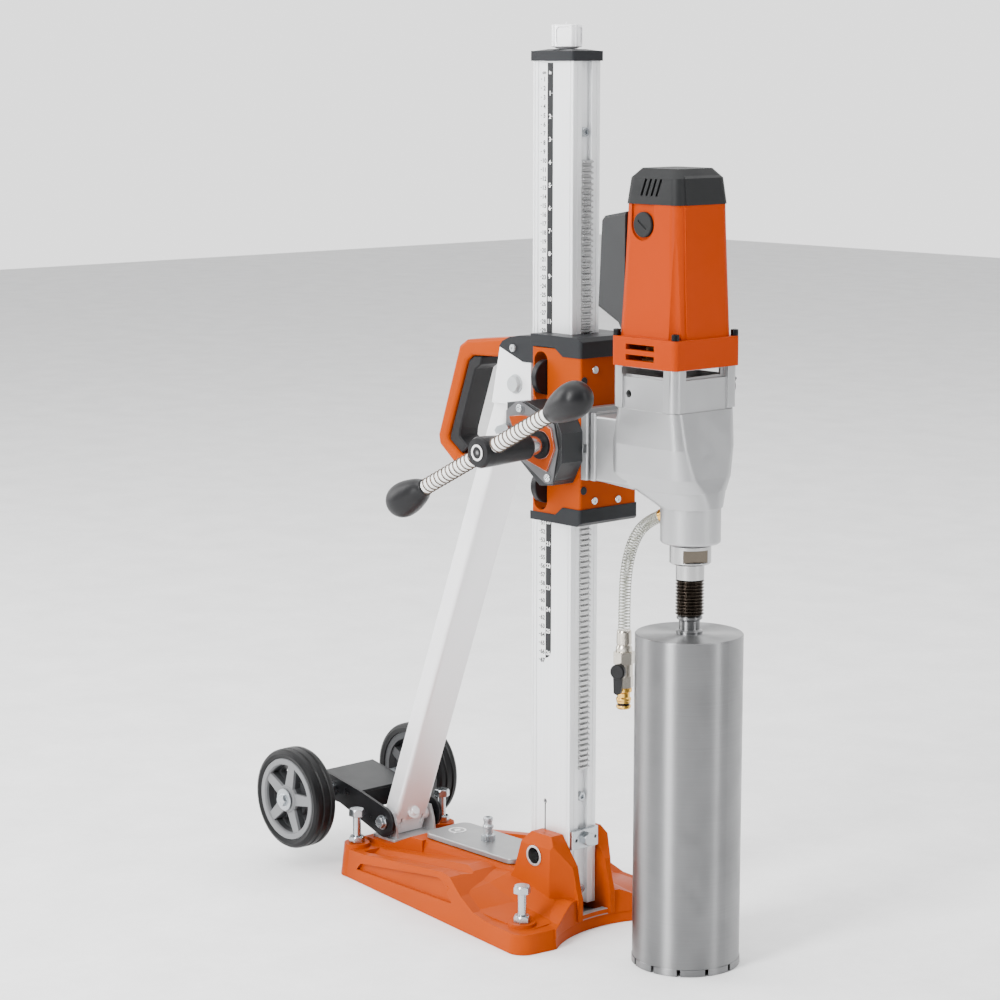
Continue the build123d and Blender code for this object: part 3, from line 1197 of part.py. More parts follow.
def hose_fittings():
    """Brass inlet stub in the gearbox nose and the quick coupling under the valve."""
    start = Vector(*HOSE_ROUTE[0])
    way = (start - Vector(*HOSE_ROUTE[1])).normalized()
    inlet = Plane(origin=start, z_dir=way) * Pos(0, 0, 5) * Cylinder(7.6, 10)
    inlet = inlet + rod_x(0, 496, (160.2, 176), 6.0) - rod_x(0, 496, (158, 186), 3.0)
    coupling = turned([
        (4.0, 293.6), (8.4, 293.6), (9.4, 292.5), (9.4, 288.6), (7.2, 286.6), (7.2, 282.2), (8.6, 280.8),
        (8.6, 278.6), (8.0, 277.6), (8.0, 275.6), (7.0, 275.4), (7.0, 272.9), (8.4, 272.6), (8.4, 270.2),
        (7.2, 268.6), (4.0, 268.6),
    ])
    return inlet + Pos(VALVE_X, 0, 0) * coupling


def valve_body():
    """Nickel ball valve with the crimp sleeve of the hose on top."""
    sleeve = turned([(0, 341.8), (7.6, 341.8), (8.6, 343.5), (8.3, 356.6), (7.6, 358.8), (0, 358.8)])
    neck = turned([(0, 334), (8.9, 334), (9.2, 336), (9.2, 338.6), (7.8, 341.9), (0, 341.9)])
    upper = Pos(0, 0, 320.5) * extrude(RegularPolygon(12.2, 6), 13.6)
    waist = rod_z(0, 0, (306, 321), 10.2)
    lower = Pos(0, 0, 293.7) * extrude(RegularPolygon(11.4, 6), 13.0)
    stem_boss = Pos(0, 0, 314) * Rot(0, 0, VALVE_TURN) * rod_y(0, 0, (-13.2, 0), 6.2)
    body = sleeve + neck + upper + waist + lower + stem_boss
    body -= rod_z(0, 0, (290, 345), 4.0)
    body -= Pos(0, 0, 314) * Rot(0, 0, VALVE_TURN) * rod_y(0, 0, (-20, 0), 3.0 + RUNNING)
    return Pos(VALVE_X, 0, 0) * body


VALVE_TURN = 22.0               # the lever's face turns this far from -Y towards +X


def valve_lever():
    """Quarter-turn lever hanging down over the valve body."""
    hub = turned_y([(0, -13.5), (8.6, -13.5), (8.6, -18.5), (7.4, -20.0), (0, -20.0)], 0, 0)
    arm = profile_xz([(-5.4, 4), (-4.2, -24.5), (0, -26.5), (4.2, -24.5), (5.4, 4)], (-19.0, -14.6))
    stem = rod_y(0, 0, (-14.0, -2.0), 3.0)
    return Pos(VALVE_X, 0, 314) * Rot(0, 0, VALVE_TURN) * (hub + arm + stem)


# ================================================================ assembly
def build_all():
    add("base_casting", base_casting())
    add("base_seals", base_seals())
    add("vacuum_cover", vacuum_cover())
    add("vacuum_nipple", vacuum_nipple())
    add("base_fasteners", base_fasteners())
    add("pivot_axle", pivot_axle())
    add("strut_foot", strut_foot())
    add("wheel_bracket", wheel_bracket())
    add("wheel_axle", wheel_axle())
    for label, (x, y, top) in (("rear", REAR_BOLT), ("front", FRONT_BOLT)):
        add(f"levelling_screw_{label}_left", levelling_screw(x, y, top))
        add(f"levelling_screw_{label}_right", levelling_screw(x, -y, top))
    for label, side in (("left", 1), ("right", -1)):
        add(f"wheel_rim_{label}", wheel_rim(side))
        add(f"wheel_tyre_{label}", wheel_tyre(side))

    add("column_tube", column_tube())
    add("feed_rack", rack())
    add("scale_label", scale_label())
    add("column_cap", column_cap())
    add("column_fittings", group(stop_plate(), column_screws()))
    add("jack_screw", jack_screw())

    add("strut_tube", group(strut_tube(), strut_screw()))
    add("carry_handle", carry_handle())
    add("carry_grip", carry_grip())
    add("strut_bracket", group(strut_bracket(), bracket_bolts()))
    add("strut_cap", strut_cap())

    add("carriage_housing", carriage_housing())
    add("carriage_caps", group(carriage_caps(), axle_plugs()))
    for label, z in zip(("lower", "upper"), ROLLER_HEIGHTS):
        add(f"roller_{label}_left", roller(1, z))
        add(f"roller_{label}_right", roller(-1, z))
    add("feed_housing", feed_housing())
    add("feed_cover", group(feed_cover(), feed_bushes()))
    add("pinion_shaft", pinion_shaft())
    add("reduction_shaft", reduction_shaft())
    add("handle_bar", handle_bar())
    add("handle_grips", group(handle_hub(), handle_knobs()))
    add("lock_lever", lock_lever())

    add("mount_plate", mount_plate())
    add("gear_housing", gear_housing())
    add("motor_housing", motor_housing())
    add("motor_cap", group(motor_cap(), brush_caps()))
    add("unit_screws", unit_screws())
    add("switch_box", group(switch_box(), cable_gland()))
    add("switch_button", switch_button())
    add("stator", stator())
    add("armature", armature())
    add("lay_gear", lay_gear())
    add("spindle", spindle())
    add("spindle_bearings", spindle_bearings())
    add("gear_selector", gear_selector())

    add("bit_adapter", bit_adapter())
    add("core_bit", group(core_bit(), bit_segments()))
    add("water_hose", water_hose())
    add("hose_fittings", hose_fittings())
    add("valve_body", valve_body())
    add("valve_lever", valve_lever())


def main():
    build_all()
    os.makedirs("parts", exist_ok=True)
    for name, shape in NODES.items():
        export_step(shape, f"parts/{name}.step")
    print(len(NODES), "nodes")


main()
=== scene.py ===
import math

import bmesh
import bpy
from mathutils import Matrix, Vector


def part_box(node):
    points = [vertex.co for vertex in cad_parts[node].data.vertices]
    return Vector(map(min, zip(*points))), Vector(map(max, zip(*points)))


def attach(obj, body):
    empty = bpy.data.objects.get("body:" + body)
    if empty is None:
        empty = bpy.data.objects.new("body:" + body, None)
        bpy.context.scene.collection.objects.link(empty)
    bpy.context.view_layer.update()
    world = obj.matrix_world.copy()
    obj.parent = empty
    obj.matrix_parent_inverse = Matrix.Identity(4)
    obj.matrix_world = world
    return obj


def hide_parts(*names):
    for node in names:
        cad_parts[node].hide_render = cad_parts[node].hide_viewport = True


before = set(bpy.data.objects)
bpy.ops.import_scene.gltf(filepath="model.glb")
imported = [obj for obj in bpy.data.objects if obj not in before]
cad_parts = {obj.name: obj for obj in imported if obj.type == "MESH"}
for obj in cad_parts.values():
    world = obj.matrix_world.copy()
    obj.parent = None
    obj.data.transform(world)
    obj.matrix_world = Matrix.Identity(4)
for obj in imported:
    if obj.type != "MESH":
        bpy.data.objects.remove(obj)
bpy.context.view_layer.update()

MM = 0.001
INCH = 0.0254
X, Y, Z = 0, 1, 2                  # axis numbers

# ------------------------------------------------------------------ camera, lights and floor
CAMERA_AT = Vector((2.2033, -2.0847, 0.9888))
CAMERA_AZIMUTH = 48.36
CAMERA_PITCH = 9.03
CAMERA_LENS = 96.97
CAMERA_SHIFT = (0.0177, -0.0109)
ROOM = (0.22, 0.224, 0.235)        # brightness of the room
WALL = (2.0, 2.0, 2.0)             # brightness of the wall behind the object
WALL_WAY = (-0.747, 0.665, 0.0)    # direction of that wall
FLOOR_HALF = 9.0
FLOOR_DROP = 0.0004


def make_camera():
    data = bpy.data.cameras.new("camera")
    data.lens = CAMERA_LENS
    data.sensor_width = 36.0
    data.shift_x, data.shift_y = CAMERA_SHIFT
    data.clip_end = 50
    camera = bpy.data.objects.new("camera", data)
    bpy.context.collection.objects.link(camera)
    camera.location = CAMERA_AT
    camera.rotation_euler = (math.radians(90 - CAMERA_PITCH), 0, math.radians(CAMERA_AZIMUTH))
    bpy.context.scene.camera = camera


def area_light(name, at, look, size, power):
    data = bpy.data.lights.new(name, "AREA")
    data.shape = "RECTANGLE"
    data.size, data.size_y = size
    data.energy = power
    light = bpy.data.objects.new(name, data)
    bpy.context.collection.objects.link(light)
    light.location = at
    light.rotation_euler = (Vector(look) - Vector(at)).to_track_quat("-Z", "Y").to_euler()


def make_world():
    """White studio wall on the far side of the object, a dimmer room on the near side."""
    world = bpy.data.worlds.new("studio")
    world.use_nodes = True
    tree = world.node_tree
    place = tree.nodes.new("ShaderNodeTexCoord")
    across = tree.nodes.new("ShaderNodeVectorMath")
    across.operation = "DOT_PRODUCT"
    across.inputs[1].default_value = WALL_WAY
    tree.links.new(place.outputs["Generated"], across.inputs[0])
    share = tree.nodes.new("ShaderNodeMapRange")
    share.inputs["From Min"].default_value = -0.1
    share.inputs["From Max"].default_value = 0.45
    tree.links.new(across.outputs["Value"], share.inputs["Value"])
    colour = tree.nodes.new("ShaderNodeMix")
    colour.data_type = "RGBA"
    colour.inputs["A"].default_value = (*ROOM, 1)
    colour.inputs["B"].default_value = (*WALL, 1)
    tree.links.new(share.outputs["Result"], colour.inputs["Factor"])
    tree.links.new(colour.outputs["Result"], tree.nodes["Background"].inputs["Color"])
    tree.nodes["Background"].inputs["Strength"].default_value = 1.0
    bpy.context.scene.world = world


def make_stage():
    mesh = bpy.data.meshes.new("floor")
    half = FLOOR_HALF
    corners = [(-half, -half, 0), (half, -half, 0), (half, half, 0), (-half, half, 0)]
    mesh.from_pydata(corners, [], [(0, 1, 2, 3)])
    floor = bpy.data.objects.new("floor", mesh)
    floor.location.z = -FLOOR_DROP
    bpy.context.collection.objects.link(floor)
    floor.data.materials.append(surface("floor_paint", (0.92, 0.92, 0.92), 0.65, grain=(60, 0.02)))
    make_world()
    area_light("key", (0.35, -3.0, 1.9), (0.05, 0, 0.5), (0.8, 2.6), 190)
    area_light("left_strip", (-2.9, -1.7, 1.7), (0, 0, 0.5), (1.2, 2.4), 80)
    area_light("right_strip", (2.9, 0.9, 1.5), (0.1, 0, 0.5), (0.5, 2.4), 34)
    area_light("top", (0.1, -0.3, 4.6), (0.1, -0.3, 0), (7.0, 7.0), 330)


# ------------------------------------------------------------------ procedural materials
class Tree:
    """A small wrapper for building one material's node tree."""

    def __init__(self, name):
        self.material = bpy.data.materials.new(name)
        self.material.use_nodes = True
        self.tree = self.material.node_tree
        self.shader = self.tree.nodes["Principled BSDF"]
        self.place = self.add("ShaderNodeTexCoord").outputs["Object"]

    def add(self, kind, **values):
        node = self.tree.nodes.new(kind)
        for key, value in values.items():
            setattr(node, key, value)
        return node

    def link(self, output, socket):
        self.tree.links.new(output, socket)

    def stretched(self, scale):
        mapping = self.add("ShaderNodeMapping")
        mapping.inputs["Scale"].default_value = scale
        self.link(self.place, mapping.inputs["Vector"])
        return mapping.outputs["Vector"]

    def noise(self, scale, detail=3.0, rough=0.5, stretch=None):
        node = self.add("ShaderNodeTexNoise")
        node.inputs["Scale"].default_value = scale
        node.inputs["Detail"].default_value = detail
        node.inputs["Roughness"].default_value = rough
        self.link(self.stretched(stretch) if stretch else self.place, node.inputs["Vector"])
        return node.outputs["Fac"]

    def ranged(self, value, low, high, from_low=0.3, from_high=0.7):
        node = self.add("ShaderNodeMapRange")
        node.inputs["From Min"].default_value = from_low
        node.inputs["From Max"].default_value = from_high
        node.inputs["To Min"].default_value = low
        node.inputs["To Max"].default_value = high
        self.link(value, node.inputs["Value"])
        return node.outputs["Result"]

    def math(self, operation, a, b=0.0):
        node = self.add("ShaderNodeMath", operation=operation)
        for socket, value in zip(node.inputs, (a, b)):
            if isinstance(value, (int, float)):
                socket.default_value = value
            else:
                self.link(value, socket)
        return node.outputs["Value"]

    def mix(self, factor, a, b):
        node = self.add("ShaderNodeMix", data_type="RGBA")
        for socket, value in (("Factor", factor), ("A", a), ("B", b)):
            self.put(node.inputs[socket], value)
        return node.outputs["Result"]

    def put(self, socket, value):
        if isinstance(value, tuple):
            socket.default_value = (*value, 1.0) if len(value) == 3 else value
        elif isinstance(value, (int, float)):
            socket.default_value = value
        else:
            self.link(value, socket)

    def axis(self, index):
        node = self.add("ShaderNodeSeparateXYZ")
        self.link(self.place, node.inputs["Vector"])
        return node.outputs[index]

    def edge(self, radius):
        """Rounded normal and a mask that is 1 on edges."""
        bevel = self.add("ShaderNodeBevel", samples=4)
        bevel.inputs["Radius"].default_value = radius
        normal = self.add("ShaderNodeNewGeometry").outputs["Normal"]
        dot = self.add("ShaderNodeVectorMath", operation="DOT_PRODUCT")
        self.link(bevel.outputs["Normal"], dot.inputs[0])
        self.link(normal, dot.inputs[1])
        return bevel.outputs["Normal"], self.ranged(dot.outputs["Value"], 1.0, 0.0, 0.80, 0.995)

    def bump(self, height, strength, distance, normal):
        node = self.add("ShaderNodeBump")
        node.inputs["Strength"].default_value = strength
        node.inputs["Distance"].default_value = distance
        self.link(height, node.inputs["Height"])
        self.link(normal, node.inputs["Normal"])
        return node.outputs["Normal"]


ORANGE = (0.36, 0.047, 0.0005)
# lighter orange for the edges: partly worn paint, partly a painted edge highlight
SCUFFED_AND_LIT_ORANGE = (0.60, 0.11, 0.006)
MOTOR_ORANGE = (0.35, 0.034, 0.0004)
# lighter rubber for the edges: partly rubbed, partly a painted edge highlight
SCUFFED_AND_LIT_RUBBER = (0.03, 0.03, 0.03)
# painted shade of the small hole on top of each pivot cheek
HOLE_SHADE = (0.05, 0.012, 0.004)
THREAD = (0.3900, 0.4325)          # heights of the brown thread on the bit adapter
SILL = 0.0194                      # top of the sill in front of the column slot
SLOT_HALF = 0.0213                 # half width of the column slot
SLOT_REAR = -0.055                 # the slot's bare floor lies in front of this
CHEEK_HOLE = (0.004, 0.0335, 0.1098)   # small dark spot on top of each pivot cheek
SHEET_HALF = 0.0365                # half width of the wheel bracket's lighter top
# painted shade: the rim's recessed inner part, seen through the spoke windows, is painted darker
RIM_FACE = 0.1090                  # everything of a rim nearer the middle than this is darker
BLACK_STRIP = -0.0088              # where the dark inch strip of the scale begins
FLAT_TURN = math.radians(-28)      # direction of the flats on the spindle
FLAT_REACH = 0.01813               # how far they are from its axis
SPINDLE_AXIS = (0.199, 0, 0)
LINES_ROUND = (3, 3, 900)          # stretch of turned lines
LINES_UP = (700, 700, 4)           # stretch of drawn lines


def shade(colour, factor):
    return tuple(min(1.0, c * factor) for c in colour)


def surface(name, colour, roughness, metallic=0.0, grain=(900, 0.06), mottle=0.05, wear_and_highlight=0.12, worn_and_lit=None,
            brushed=None, coat=0.0, radius=0.0007, marks=None, specular=0.22, turned=0.0):
    """A finished surface: mottled colour, uneven gloss, fine grain, soft edges lightened, partly as wear and
    partly as a painted highlight.

    grain is (scale, strength) of the fine bump.  brushed is a stretch that turns the grain into
    brush lines.  marks is a list of (colour, mask function) painted over the base colour.
    turned stretches the gloss across lines that run around an upright axis.
    """
    t = Tree(name)
    broad = t.noise(9, 4, 0.55)
    fine = t.noise(grain[0], 2, 0.6, brushed)
    base = t.mix(t.ranged(broad, 0.0, 1.0), shade(colour, 1 - mottle), shade(colour, 1 + mottle))
    speck = t.ranged(fine, 0.0, 0.5 if brushed else 0.25, 0.3, 0.75)
    base = t.mix(speck, base, shade(colour, 0.86))
    normal, edge = t.edge(radius)
    # edges blend towards the worn colour: partly wear, partly a painted highlight along them
    scuffed_and_lit = t.math("MULTIPLY", edge, t.ranged(t.noise(70, 3), 0.2, 1.0, 0.35, 0.65))
    base = t.mix(t.math("MULTIPLY", scuffed_and_lit, wear_and_highlight), base, worn_and_lit or shade(colour, 1.5))
    for paint, mask in marks or []:
        base = t.mix(mask(t), base, paint)
    t.link(base, t.shader.inputs["Base Color"])
    patches = t.noise(26, 3, 0.6)
    t.link(t.ranged(patches, max(0.03, roughness - 0.05), min(1.0, roughness + 0.07)),
           t.shader.inputs["Roughness"])
    t.link(t.bump(fine, grain[1], 0.0004, normal), t.shader.inputs["Normal"])
    t.shader.inputs["Metallic"].default_value = metallic
    t.shader.inputs["Coat Weight"].default_value = coat
    t.shader.inputs["Coat Roughness"].default_value = 0.12
    t.shader.inputs["Specular IOR Level"].default_value = specular
    if turned:
        around = t.add("ShaderNodeTangent", direction_type="RADIAL", axis="Z")
        t.shader.inputs["Anisotropic"].default_value = turned
        t.shader.inputs["Anisotropic Rotation"].default_value = 0.25
        t.link(around.outputs["Tangent"], t.shader.inputs["Tangent"])
    return t.material


def band(axis, low, high, soft=0.0002):
    """Mask of the space between two planes across an axis."""
    def mask(t):
        place = t.axis(axis)
        above = t.ranged(place, 0.0, 1.0, low - soft, low + soft)
        below = t.ranged(place, 1.0, 0.0, high - soft, high + soft)
        return t.math("MULTIPLY", above, below)
    return mask


def beyond(axis, level, side=1, soft=0.0002):
    """Mask of everything past a plane, on its positive or negative side."""
    def mask(t):
        ends = (0.0, 1.0) if side > 0 else (1.0, 0.0)
        return t.ranged(t.axis(axis), *ends, level - soft, level + soft)
    return mask


def spot(centre, radius, soft=0.0002):
    """Mask of a small ball."""
    def mask(t):
        node = t.add("ShaderNodeVectorMath", operation="DISTANCE")
        t.link(t.place, node.inputs[0])
        node.inputs[1].default_value = centre
        return t.ranged(node.outputs["Value"], 1.0, 0.0, radius - soft, radius + soft)
    return mask


def slab(centre, direction, distance, soft=0.0001):
    """Mask of everything further than a distance from a plane through a centre, on both sides."""
    def mask(t):
        moved = t.add("ShaderNodeVectorMath", operation="SUBTRACT")
        t.link(t.place, moved.inputs[0])
        moved.inputs[1].default_value = centre
        dot = t.add("ShaderNodeVectorMath", operation="DOT_PRODUCT")
        t.link(moved.outputs["Vector"], dot.inputs[0])
        dot.inputs[1].default_value = direction
        far = t.math("ABSOLUTE", dot.outputs["Value"])
        return t.ranged(far, 0.0, 1.0, distance - soft, distance + soft)
    return mask


def both(*masks):
    """The masks multiplied together."""
    def mask(t):
        value = masks[0](t)
        for other in masks[1:]:
            value = t.math("MULTIPLY", value, other(t))
        return value
    return mask


def orange_finishes():
    """Painted and moulded orange."""
    sill = both(band(Y, -SLOT_HALF, SLOT_HALF), band(Z, SILL - 0.0004, SILL + 0.0006), beyond(X, SLOT_REAR))
    slot_floor = both(band(Y, -SLOT_HALF, SLOT_HALF), band(Z, 0.0130, 0.0140), beyond(X, SLOT_REAR))
    # painted shade: near-black inside the roller pockets, more than 3.5 mm in from the outer faces
    pocket_shade = both(band(X, 0.0025, 0.0675), band(Y, -0.0395, 0.0395))
    casting_marks = [((0.30, 0.30, 0.30), sill), ((0.20, 0.20, 0.20), slot_floor)]
    # painted shade: a dark spot for the small hole on each pivot cheek
    for side in (-1, 1):
        hole = (CHEEK_HOLE[X], side * CHEEK_HOLE[Y], CHEEK_HOLE[Z])
        casting_marks.append((HOLE_SHADE, spot(hole, 0.0016)))
    return {
        "orange": surface("orange_coat", ORANGE, 0.33, grain=(1300, 0.05), mottle=0.04, wear_and_highlight=0.35,
                          worn_and_lit=SCUFFED_AND_LIT_ORANGE, specular=0.05),
        "base_orange": surface("orange_casting", ORANGE, 0.34, grain=(900, 0.08), mottle=0.05, wear_and_highlight=0.35,
                               worn_and_lit=SCUFFED_AND_LIT_ORANGE, specular=0.05, marks=casting_marks),
        # the near-black mark is painted shade inside the roller pockets
        "carriage_orange": surface("orange_housing", shade(ORANGE, 0.93), 0.33, grain=(1300, 0.05),
                                   mottle=0.04, wear_and_highlight=0.35, worn_and_lit=SCUFFED_AND_LIT_ORANGE, specular=0.05,
                                   marks=[((0.012, 0.010, 0.010), pocket_shade)]),
        "motor_orange": surface("orange_plastic", MOTOR_ORANGE, 0.40, grain=(1900, 0.07), mottle=0.03,
                                wear_and_highlight=0.30, worn_and_lit=(0.55, 0.09, 0.005), specular=0.05),
        "cover_orange": surface("orange_cover", ORANGE, 0.33, grain=(1300, 0.05), mottle=0.04, wear_and_highlight=1.0,
                                radius=0.0014, worn_and_lit=(0.75, 0.75, 0.76), specular=0.05,
                                marks=[((0.012, 0.012, 0.013), beyond(Y, -0.08150, -1))]),
    }


def dark_finishes():
    """Black and grey paint, mouldings and rubber."""
    badge = both(beyond(Y, -0.17485, -1), spot((0.0466, -0.1748, 0.5707), 0.011))
    sheet_top = both(band(Y, -SHEET_HALF, SHEET_HALF), beyond(Z, 0.0925))
    return {
        "black": surface("black_coat", (0.007, 0.007, 0.008), 0.34, grain=(1500, 0.10), wear_and_highlight=0.5,
                         worn_and_lit=(0.06, 0.06, 0.06)),
        # its light edges are partly wear, partly a painted edge highlight
        "sheet": surface("bent_sheet", (0.006, 0.006, 0.007), 0.30, grain=(1500, 0.08), wear_and_highlight=0.6,
                         worn_and_lit=(0.22, 0.22, 0.23), marks=[((0.020, 0.021, 0.022), sheet_top)]),
        "dark": surface("dark_moulding", (0.015, 0.016, 0.018), 0.46, grain=(2200, 0.14), wear_and_highlight=0.4,
                        worn_and_lit=(0.05, 0.054, 0.058), specular=0.15),
        "box_grey": surface("grey_moulding", (0.034, 0.035, 0.036), 0.5, grain=(2200, 0.12), wear_and_highlight=0.3,
                            worn_and_lit=(0.08, 0.083, 0.086), specular=0.15),
        "motor_cap": surface("cap_moulding", (0.014, 0.0145, 0.015), 0.5, grain=(2200, 0.14), wear_and_highlight=0.4,
                             worn_and_lit=(0.05, 0.053, 0.056), specular=0.15),
        "gun": surface("gunmetal_casting", (0.045, 0.046, 0.048), 0.33, metallic=0.45, grain=(1500, 0.12),
                       mottle=0.05, wear_and_highlight=0.5, worn_and_lit=(0.5, 0.5, 0.5),
                       marks=[((0.13, 0.13, 0.135), beyond(Y, -0.0789, -1))]),
        # the darker band is painted shade in the rim's recess
        "rim_grey": surface("rim_moulding", (0.17, 0.173, 0.178), 0.40, grain=(1600, 0.08), wear_and_highlight=0.3,
                            marks=[((0.035, 0.036, 0.038), band(Y, -RIM_FACE, RIM_FACE))]),
        "rubber": surface("black_rubber", (0.007, 0.007, 0.008), 0.46, grain=(1400, 0.16), wear_and_highlight=0.4,
                          worn_and_lit=SCUFFED_AND_LIT_RUBBER),
        "knob": surface("knob_rubber", (0.008, 0.008, 0.009), 0.38, grain=(1800, 0.10), wear_and_highlight=0.3,
                        worn_and_lit=SCUFFED_AND_LIT_RUBBER, marks=[((0.72, 0.72, 0.72), badge)]),
        "tyre": surface("tyre_rubber", (0.003, 0.003, 0.0035), 0.42, grain=(1100, 0.14), wear_and_highlight=0.5,
                        worn_and_lit=SCUFFED_AND_LIT_RUBBER),
    }


def silver_finishes():
    """Aluminium, silver paint and castings."""
    saw_cut = both(band(X, -0.00945, -0.00755), beyond(Z, 0.1455, -1), beyond(Y, -0.001, -1))
    return {
        "column": surface("anodised_column", (0.86, 0.87, 0.88), 0.36, metallic=0.45, grain=(1, 0.035),
                          brushed=LINES_UP, mottle=0.02, wear_and_highlight=0.5, worn_and_lit=(0.97, 0.97, 0.97),
                          marks=[((0.02, 0.02, 0.02), saw_cut)]),
        "strut": surface("silver_strut", (0.88, 0.88, 0.89), 0.34, metallic=0.35, grain=(1500, 0.05),
                         mottle=0.02, wear_and_highlight=0.3),
        "white": surface("white_coat", (0.84, 0.85, 0.86), 0.38, metallic=0.15, grain=(1300, 0.06),
                         mottle=0.02, marks=[((0.45, 0.47, 0.48), slab((0, 0, 0), (0, 1, 0), 0.03630))]),
        "cast": surface("silver_casting", (0.40, 0.404, 0.41), 0.34, metallic=0.75, grain=(1500, 0.12),
                        mottle=0.04, wear_and_highlight=0.5, worn_and_lit=(0.9, 0.9, 0.9), coat=0.1,
                        marks=[((0.28, 0.28, 0.28), band(Z, 0.6172, 0.6176, 0.0001))]),
        "plate": surface("ground_plate", (0.30, 0.30, 0.305), 0.34, metallic=0.7, grain=(1, 0.06),
                         brushed=(20, 900, 20), mottle=0.05, wear_and_highlight=0.6, worn_and_lit=(0.8, 0.8, 0.8),
                         marks=[((0.80, 0.80, 0.80), beyond(Z, 0.06480))]),
    }


def metal_finishes():
    """Plated, turned and brushed metal."""
    flat_way = (math.cos(FLAT_TURN), math.sin(FLAT_TURN), 0)
    flats = both(slab(SPINDLE_AXIS, flat_way, FLAT_REACH), band(Z, 0.4522, 0.4658))
    return {
        "zinc": surface("zinc_plating", (0.44, 0.465, 0.485), 0.26, metallic=1.0, grain=(1200, 0.06),
                        mottle=0.08, wear_and_highlight=0.5),
        "sheet_zinc": surface("zinc_sheet", (0.40, 0.41, 0.42), 0.40, metallic=0.6, grain=(1200, 0.06),
                              mottle=0.06, wear_and_highlight=0.6, worn_and_lit=(0.8, 0.8, 0.8)),
        "unit_screws": surface("screw_plating", (0.64, 0.67, 0.69), 0.24, metallic=1.0,
                               grain=(1200, 0.06), mottle=0.08, wear_and_highlight=0.5,
                               marks=[((0.02, 0.02, 0.022), beyond(Z, 0.690))]),
        "steel": surface("turned_steel", (0.54, 0.54, 0.54), 0.26, metallic=1.0, grain=(1, 0.05),
                         brushed=LINES_ROUND, mottle=0.05),
        "spindle": surface("bright_spindle", (0.42, 0.42, 0.42), 0.20, metallic=1.0, grain=(1, 0.04),
                           brushed=LINES_ROUND, mottle=0.04, marks=[((0.085, 0.062, 0.035), flats)]),
        "chrome": surface("bright_plating", (0.74, 0.74, 0.75), 0.12, metallic=1.0, grain=(900, 0.02),
                          mottle=0.03),
        "thread": surface("oiled_thread", (0.40, 0.40, 0.40), 0.24, metallic=1.0, grain=(1, 0.06),
                          brushed=LINES_ROUND, wear_and_highlight=0.4, worn_and_lit=(0.26, 0.22, 0.18),
                          marks=[((0.050, 0.040, 0.032), band(Z, *THREAD))]),
        "bit": surface("brushed_barrel", (0.22, 0.222, 0.225), 0.37, metallic=1.0, grain=(1, 0.03),
                       brushed=(14, 14, 1500), mottle=0.04, wear_and_highlight=0.3, turned=0.92),
        "brass": surface("turned_brass", (0.78, 0.46, 0.10), 0.20, metallic=1.0, grain=(1, 0.05),
                         brushed=LINES_ROUND, mottle=0.05,
                         marks=[((0.02, 0.02, 0.02), band(Z, 0.2729, 0.2755))]),
        "nickel": surface("nickel_valve", (0.58, 0.54, 0.47), 0.22, metallic=1.0, grain=(1300, 0.06),
                          mottle=0.05),
        "wire": surface("spring_wire", (0.12, 0.09, 0.07), 0.25, metallic=1.0, grain=(2600, 0.05),
                        mottle=0.06),
        "inside": surface("windings", (0.26, 0.10, 0.04), 0.4, metallic=0.6, grain=(900, 0.2)),
    }


def print_finishes():
    """The scale, its ink, and the white sleeves and threads."""
    return {
        "label": surface("scale_film", (0.80, 0.81, 0.81), 0.42, grain=(1800, 0.03), mottle=0.01,
                         marks=[((0.012, 0.012, 0.013), band(X, BLACK_STRIP, 0.001))]),
        "ink": surface("scale_ink", (0.012, 0.012, 0.012), 0.45, grain=(1800, 0.02), mottle=0.02),
        "white_ink": surface("white_ink", (0.85, 0.85, 0.85), 0.45, grain=(1800, 0.02), mottle=0.02),
        "sleeve": surface("white_sleeve", (0.84, 0.84, 0.82), 0.34, grain=(1300, 0.05), mottle=0.03),
        "thread_white": surface("braid_thread", (0.40, 0.40, 0.34), 0.5, grain=(3000, 0.1), mottle=0.04),
    }


def make_materials():
    return {
        **orange_finishes(), **dark_finishes(), **silver_finishes(), **metal_finishes(), **print_finishes(),
    }


NODE_MATERIALS = {
    "base_casting": "base_orange", "base_seals": "rubber", "vacuum_cover": "plate", "vacuum_nipple": "zinc",
    "base_fasteners": "zinc", "pivot_axle": "steel", "strut_foot": "sheet_zinc", "wheel_bracket": "sheet",
    "wheel_axle": "zinc", "levelling_screw_rear_left": "zinc", "levelling_screw_rear_right": "zinc",
    "levelling_screw_front_left": "zinc", "levelling_screw_front_right": "zinc",
    "wheel_rim_left": "rim_grey", "wheel_rim_right": "rim_grey", "wheel_tyre_left": "tyre",
    "wheel_tyre_right": "tyre", "column_tube": "column", "feed_rack": "steel", "column_fittings": "zinc",
    "scale_label": "label", "column_cap": "dark", "jack_screw": "strut", "strut_tube": "strut",
    "carry_handle": "orange", "carry_grip": "rubber", "strut_bracket": "white", "strut_cap": "dark",
    "carriage_housing": "carriage_orange", "carriage_caps": "dark", "roller_lower_left": "black",
    "roller_lower_right": "black", "roller_upper_left": "black", "roller_upper_right": "black",
    "feed_housing": "gun", "feed_cover": "cover_orange", "pinion_shaft": "chrome", "reduction_shaft": "steel",
    "handle_bar": "sleeve", "handle_grips": "knob", "lock_lever": "zinc", "mount_plate": "cast",
    "gear_housing": "cast", "motor_housing": "motor_orange", "motor_cap": "motor_cap",
    "unit_screws": "unit_screws", "switch_box": "box_grey", "switch_button": "rubber", "stator": "plate",
    "armature": "inside", "lay_gear": "steel", "spindle": "spindle", "spindle_bearings": "chrome",
    "gear_selector": "dark", "bit_adapter": "thread", "core_bit": "bit", "water_hose": "sleeve",
    "hose_fittings": "brass", "valve_body": "nickel", "valve_lever": "black",
}


